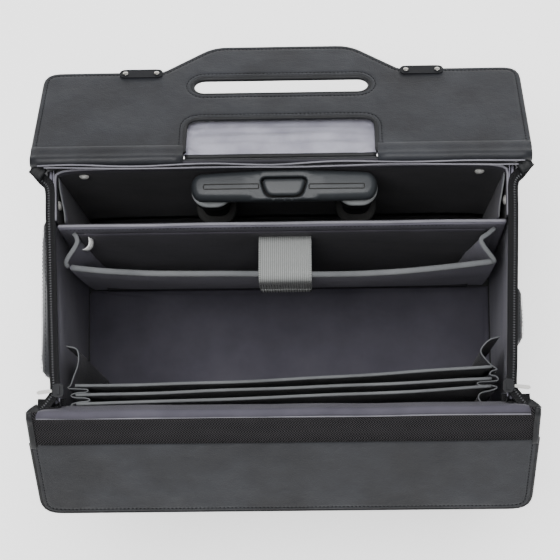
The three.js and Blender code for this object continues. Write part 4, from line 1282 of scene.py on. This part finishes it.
def build_files():
    for i in range(3):
        half = FILES["half"] - i * 0.7
        xs, zs = np.meshgrid(np.linspace(-half, half, 54), np.linspace(FILES["top"], FILES["low"], 22))
        # painted shade: the file sheets are the darkest copy of the lining, painted as if in deep shade
        sheet = cloth(f"file_sheet_{i + 1}", case(xs, file_y(i, xs, zs), zs), "lining_dark", "case", 1.3)
        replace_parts(sheet, f"file_divider_{i + 1}")
        edge = np.linspace(-half, half, 60)
        level = FILES["top"] + 0.4 + 0.3 * wave(edge, 0, 90, 85 + i)
        path = case(edge, file_y(i, edge, FILES["top"]), level)
        cordage(f"file_binding_{i + 1}", curved(path, 5 * MM), 1.55, "binding", "case", 0.95)

    left = [(208.5, -51), (199, -53.5), (196.3, -60), (197, -70), (200.5, -80), (203.5, -88.5),
            (206.5, -91.6), (198, -92.3), (188.5, -92.9), (186.8, -94.2), (189.5, -95.8), (198, -96.4),
            (203.2, -98.4), (200, -100.6), (190, -101.2), (185.4, -102.4), (187, -104.4), (196, -105.2),
            (203, -107.6), (199, -109.4), (188, -109.8), (184.4, -111.4), (186, -113.6), (200, -114.2)]
    right = [(207, -47), (198, -49.5), (191, -56), (189, -61.5), (193, -68), (199.5, -74.6), (204, -78),
             (199, -79.6), (197, -83), (203, -84.8), (204.5, -88.6), (197, -89.6), (187, -90.0),
             (184.8, -91.6), (188, -93.2), (199, -93.8), (203.6, -95.6), (198, -98.2), (189, -100.2),
             (185.6, -104), (188, -109.5), (193, -112.2), (199, -114.2)]
    for (name, side), plan in zip(sides, (left, right)):
        line = curved([(side * x, y) for x, y in plan], 1.3)
        top = np.column_stack([line, np.full(len(line), FILES["top"] - 2.0)])
        top[:, 2] += 0.6 * wave(line[:, 0], line[:, 1], 20, 91)
        foot = top.copy()
        foot[:, 2] = 70
        foot[:, 0] = side * 203 + (foot[:, 0] - side * 203) * 0.8
        rows = lerp_rows(top, foot, 14)
        # painted shade: the file gussets are the darkest copy of the lining, painted as if in deep shade
        gusset = cloth(f"file_gusset_cloth_{name}", in_case(rows), "lining_dark",
                       "case", 0.7)
        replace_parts(gusset, f"file_gusset_{name}")
        cordage(f"file_gusset_edge_{name}", case(*top.T), 0.62, "binding", "case", 1.0)
    # The front wall's lining stands loose: it leans into the case below the rim.
    levels = ((375.4, -124.2, 231), (376.9, -122.2, 231), (377.3, -119.6, 230), (376.2, -117.4, 229),
              (370, -115.8, 227), (360, -112.9, 221), (352, -110.9, 214), (345, -109.6, 208),
              (338, -110.4, 206), (325, -113.4, 206), (305, -115.6, 208))
    rows, xs = [], np.linspace(-1, 1, 60)
    for z, y, half in levels:
        rows.append(case(xs * half, y + 0.4 * wave(xs * half, z, 90, 95), z))
    # painted shade: the front lining is the darker copy of the lining, painted as if shaded
    cloth("front_lining", rows, "lining_mid", "case", 0.9)


# ---- trolley ----
GRIP = {"low": 354.4, "top": 373}


def grip_outline():
    """The handle from above: an arched rear edge, a nearly straight front edge and round ends."""
    points = []
    for t in np.linspace(-1, 1, 31):
        points.append((78 * t, GRIP_Y - 15.2 + 0.9 * t ** 2))
    points += [(84, GRIP_Y - 12.6), (88, GRIP_Y - 7), (89.2, GRIP_Y), (87.5, GRIP_Y + 7), (82, GRIP_Y + 12)]
    for t in np.linspace(0.92, -0.92, 31):
        points.append((80 * t, GRIP_Y + 12.6 + 3.0 * math.cos(t * math.pi / 2)))
    points += [(-82, GRIP_Y + 12), (-87.5, GRIP_Y + 7), (-89.2, GRIP_Y), (-88, GRIP_Y - 7),
               (-84, GRIP_Y - 12.6)]
    return curved(points, 3.5, True)


def button_outline(grow):
    """The press button: a rounded trapezoid, wider at the back."""
    back, front, deep = 22.2 + grow, 16.2 + grow, 8.6 + grow
    corners = [(-back, deep), (back, deep), (front, -deep), (-front, -deep)]
    points = []
    for i, corner in enumerate(corners):
        corner = np.array(corner, float)
        before = np.array(corners[i - 1], float)
        after = np.array(corners[(i + 1) % 4], float)
        a = corner + (before - corner) / np.linalg.norm(before - corner) * 6
        b = corner + (after - corner) / np.linalg.norm(after - corner) * 6
        points += [a, *bend(a, corner, b, 5)]
    return np.array(points) + (0, GRIP_Y - 2.6)


def build_trolley():
    body = "trolley_upper_stage"
    depth = GRIP["top"] - GRIP["low"]

    def place(x, y, w):
        return case(TROLLEY_X + x, y, GRIP["low"] + w)

    def faces(a, b, d):
        rounding = np.sqrt(np.clip(1 - (1 - np.clip(d / 6.5, 0, 1)) ** 2, 0, 1))
        crown = 0.5 * np.cos(a / 89 * 1.5) - 0.4
        middle, half = depth * 0.45, depth * 0.5
        near = np.hypot(np.clip(np.abs(a) - 19, 0, None), b - GRIP_Y + 2.6)
        lift = np.where(near < 16, 0.0, crown)
        round_top = np.where(near < 16, np.clip(d / 0.6, 0, 1) ** 0.5, rounding)
        return middle - half * 0.9 * rounding, middle + (depth - middle) * round_top + lift - 0.4

    grip = plate("grip_shell", grip_outline(), [button_outline(0.9)], faces, place, ["grip", "grip"], body,
                 9, (0.4, 1.2, 2.4, 4.2, 6.2), 3.5)
    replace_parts(grip, "trolley_grip")
    well = board(4.5, 9.0, 0.8, 0, 0, 0, 0)
    plate("button_well", button_outline(1.4), [], well, place, ["rubber", "rubber"], body,
          8, (0.5, 1.5, 3), 3)
    button_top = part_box("trolley_button")[1].z / MM - GRIP["low"]
    crown = board(button_top - 5.5, button_top - 0.1, 2.6, 0, 0, 0.3, 0)
    button = plate("grip_button_cap", button_outline(-0.3), [], crown, place, ["button", "button"],
                   "grip_button", 6, (0.4, 1.2, 2.6, 4), 3)
    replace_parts(button, "trolley_button")
    for name, side in sides:
        frame_line = oblong(52.6, 4.6, 0.5, side * 50.3, GRIP_Y - 2.0 - side * 0.4, 3)
        path = resample(frame_line, 1.5, True)
        top = depth - 0.15 + 0.5 * np.cos(path[:, 0] / 89 * 1.5) - 0.4
        cordage(f"grip_inlay_{name}", place(path[:, 0], path[:, 1], top), 0.5, "rubber", body, closed=True)
        x = side * TUBE_X

        def ring_place(a, b, w):
            return case(TROLLEY_X + a, b, w)

        hole = np.array(oblong(24.4, 15.4, 7.4, x, GRIP_Y, 7))
        for label, (wide, deep), low, high, look in (("collar", (40, 33), 343.8, 349.5, "collar"),
                                                     ("housing", (39, 31), 322, 343.4, "moulding"),
                                                     ("ring", (41, 38), 262, 269, "rubber")):
            outline = np.array(oblong(wide, deep, deep / 2 - 0.5, x, GRIP_Y, 8))
            plate(f"trolley_{label}_{name}", outline, [hole], board(low, high, 2.2, 0, 0, 0, 0), ring_place,
                  [look, look], "case", 8, (0.5, 1.4, 2.6), 3)
        cap_outline = np.array(oblong(30, 20, 9, x, GRIP_Y, 8))
        plate(f"grip_socket_{name}", cap_outline, [], board(-3.5, 3.0, 1.4, 0, 0, 0, 0), place,
              ["moulding", "moulding"], body, 8, (0.5, 1.4, 2.6), 3)
        dress(f"trolley_outer_tube_{name}", "black_metal", 0.3)
        dress(f"trolley_middle_tube_{name}", "aluminium")
        dress(f"trolley_inner_tube_{name}", "aluminium")
    dress("trolley_bracket", "moulding", 1.2)


# ---- wheels, feet, locks, outside pockets ----
def build_running_gear():
    for name, _ in sides:
        dress(f"wheel_housing_{name}", "moulding", 0.8)
        dress(f"wheel_axle_{name}", "steel", 0.4)
        dress(f"wheel_hub_{name}", "moulding", 0.6)
        dress(f"wheel_tyre_{name}", "tyre", 1.6, 3)
        dress(f"front_foot_{name}", "rubber", 1.5, 3)
        dress(f"lock_body_{name}", "steel", 0.9, 3)
        dress(f"lock_bolt_{name}", "black_metal", 0.6)


def build_side_pockets():
    plans = (("left", -1, (9.0, 12.4), (-80, 84), (70, 310)),
             ("right", 1, (7.6, 7.6), (-52, 10), (150, 310)))
    for name, side, (foot, top), (y0, y1), (z0, z1) in plans:
        def place(y, z, w, side=side):
            return case(side * (wall_half(y, z) + 0.4 + w), y, z)

        def depth(a, b, foot=foot, top=top, z0=z0, z1=z1):
            """How far the pocket stands out: its face is flat although the wall behind it tapers."""
            share = np.clip((b - z0) / (z1 - z0), 0, 1)
            return foot + share * (top - foot) + wall_half(HINGE_Y, b) - wall_half(a, b)

        def faces(a, b, d, depth=depth):
            swell = depth(a, b) * (1 - np.exp(-d / 5.0))
            low = np.full(np.shape(d), 0.0)
            return low, np.clip(swell, 0.4, None) + 0.25 * wave(a, b, 60, 99) * np.clip(d / 15, 0, 1)

        middle, height = (z0 + z1) / 2, z1 - z0
        shape = np.array(oblong(y1 - y0, height, 9, (y0 + y1) / 2, middle))
        pocket = plate(f"outer_pocket_{name}", shape, [], faces, place, ["leather", "leather"], "case", 11)
        x, y, z = places(pocket.data).T / MM
        settle(pocket, np.abs(x) < wall_half(y - MIDDLE_Y, z) + 2.0, 12, 1.2, 0, 0, 2.0)
        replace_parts(pocket, f"side_pocket_{name}")
        loop = resample(shape, 4, True)
        path = place(loop[:, 0], loop[:, 1], 1.0)
        cordage(f"outer_pocket_piping_{name}", path, 1.5, "leather_edge", "case", closed=True, up=(1, 0, 0))
        mouth = np.array([(y0 + 6, z1 - 16), (y1 - 6, z1 - 16)])

        def on_face(a, b, shape=shape, depth=depth):
            """The level of the pocket's swollen face."""
            return depth(a, b) * (1 - np.exp(-to_edge(np.stack([a, b], -1), [shape]) / 5.0)) + 0.1

        rows = [(inset(resample(shape, 3, True), 5), True), (mouth, False)]
        seam(f"outer_pocket_stitches_{name}", rows, place, on_face, "thread", "case")


build_rear_flap()
build_rear_hinge()
build_front_lid()
build_front_band()
build_cover()
build_walls()
build_zips()
build_corner_webs()
build_floor()
build_divider()
build_rear_compartment()
build_laptop_pocket()
build_strap()
build_files()
build_trolley()
build_running_gear()
build_side_pockets()


# ---- camera, light and floor ----
CAMERA = {"azimuth": 8.22, "elevation": 80.5, "roll": -0.5, "distance": 1785, "lens": 121.62}
TARGET = (-1.38, 4.62, 375)
LAMPS = (("key", (-0.3, 0.15, 3.4), 2.0, 150), ("fill", (1.0, 2.6, 2.2), 2.0, 26))
AIM = (0, 0, 0.2)
HORIZON, OVERHEAD = 0.8, 0.3  # how strongly the studio shines low down and from above
FLOOR_HALF = 30


def build_camera():
    azimuth, elevation, roll = (math.radians(CAMERA[key]) for key in ("azimuth", "elevation", "roll"))
    back = Vector((math.sin(azimuth) * math.cos(elevation), -math.cos(azimuth) * math.cos(elevation),
                   math.sin(elevation)))
    right = (-back).cross(Vector((0, 1, 0))).normalized()
    up = right.cross(-back)
    turned = right * math.cos(roll) + up * math.sin(roll)
    upright = up * math.cos(roll) - right * math.sin(roll)
    data = bpy.data.cameras.new("camera")
    data.lens, data.sensor_width = CAMERA["lens"], 36
    data.clip_start, data.clip_end = 0.05, 50
    camera = bpy.data.objects.new("camera", data)
    camera.matrix_world = Matrix((turned, upright, back)).transposed().to_4x4()
    camera.location = Vector(case(*TARGET)) + back * CAMERA["distance"] * MM
    bpy.context.scene.collection.objects.link(camera)
    bpy.context.scene.camera = camera


def build_light():
    world = bpy.data.worlds.new("studio")
    world.use_nodes = True
    tree = world.node_tree
    background = tree.nodes["Background"]
    background.inputs["Color"].default_value = (1, 1, 1, 1)
    # The studio is brighter low down than overhead.
    height = tree.nodes.new("ShaderNodeSeparateXYZ")
    tree.links.new(tree.nodes.new("ShaderNodeTexCoord").outputs["Generated"], height.inputs[0])
    strength = tree.nodes.new("ShaderNodeMapRange")
    strength.interpolation_type = "SMOOTHSTEP"
    strength.inputs["From Min"].default_value, strength.inputs["From Max"].default_value = 0.0, 0.35
    strength.inputs["To Min"].default_value, strength.inputs["To Max"].default_value = HORIZON, OVERHEAD
    tree.links.new(height.outputs["Z"], strength.inputs["Value"])
    tree.links.new(strength.outputs["Result"], background.inputs["Strength"])
    bpy.context.scene.world = world
    for name, place, size, power in LAMPS:
        data = bpy.data.lights.new(name, "AREA")
        data.size, data.energy = size, power
        light = bpy.data.objects.new(name, data)
        light.location = place
        light.rotation_euler = (Vector(AIM) - Vector(place)).to_track_quat("-Z", "Y").to_euler()
        bpy.context.scene.collection.objects.link(light)


def build_stage():
    look = Look("studio_floor", 0.7, **{"Emission Color": (1, 1, 1, 1), "Emission Strength": 1.3})
    material = look.finish(look.blend(look.noise(0.4, 2), srgb("f4f4f4"), srgb("f8f8f8")))
    mesh = bpy.data.meshes.new("studio_floor")
    far = FLOOR_HALF
    mesh.from_pydata([(-far, -far, 0), (far, -far, 0), (far, far, 0), (-far, far, 0)], [], [(0, 1, 2, 3)])
    mesh.materials.append(material)
    floor = bpy.data.objects.new("studio_floor", mesh)
    bpy.context.scene.collection.objects.link(floor)


build_camera()
build_light()
build_stage()
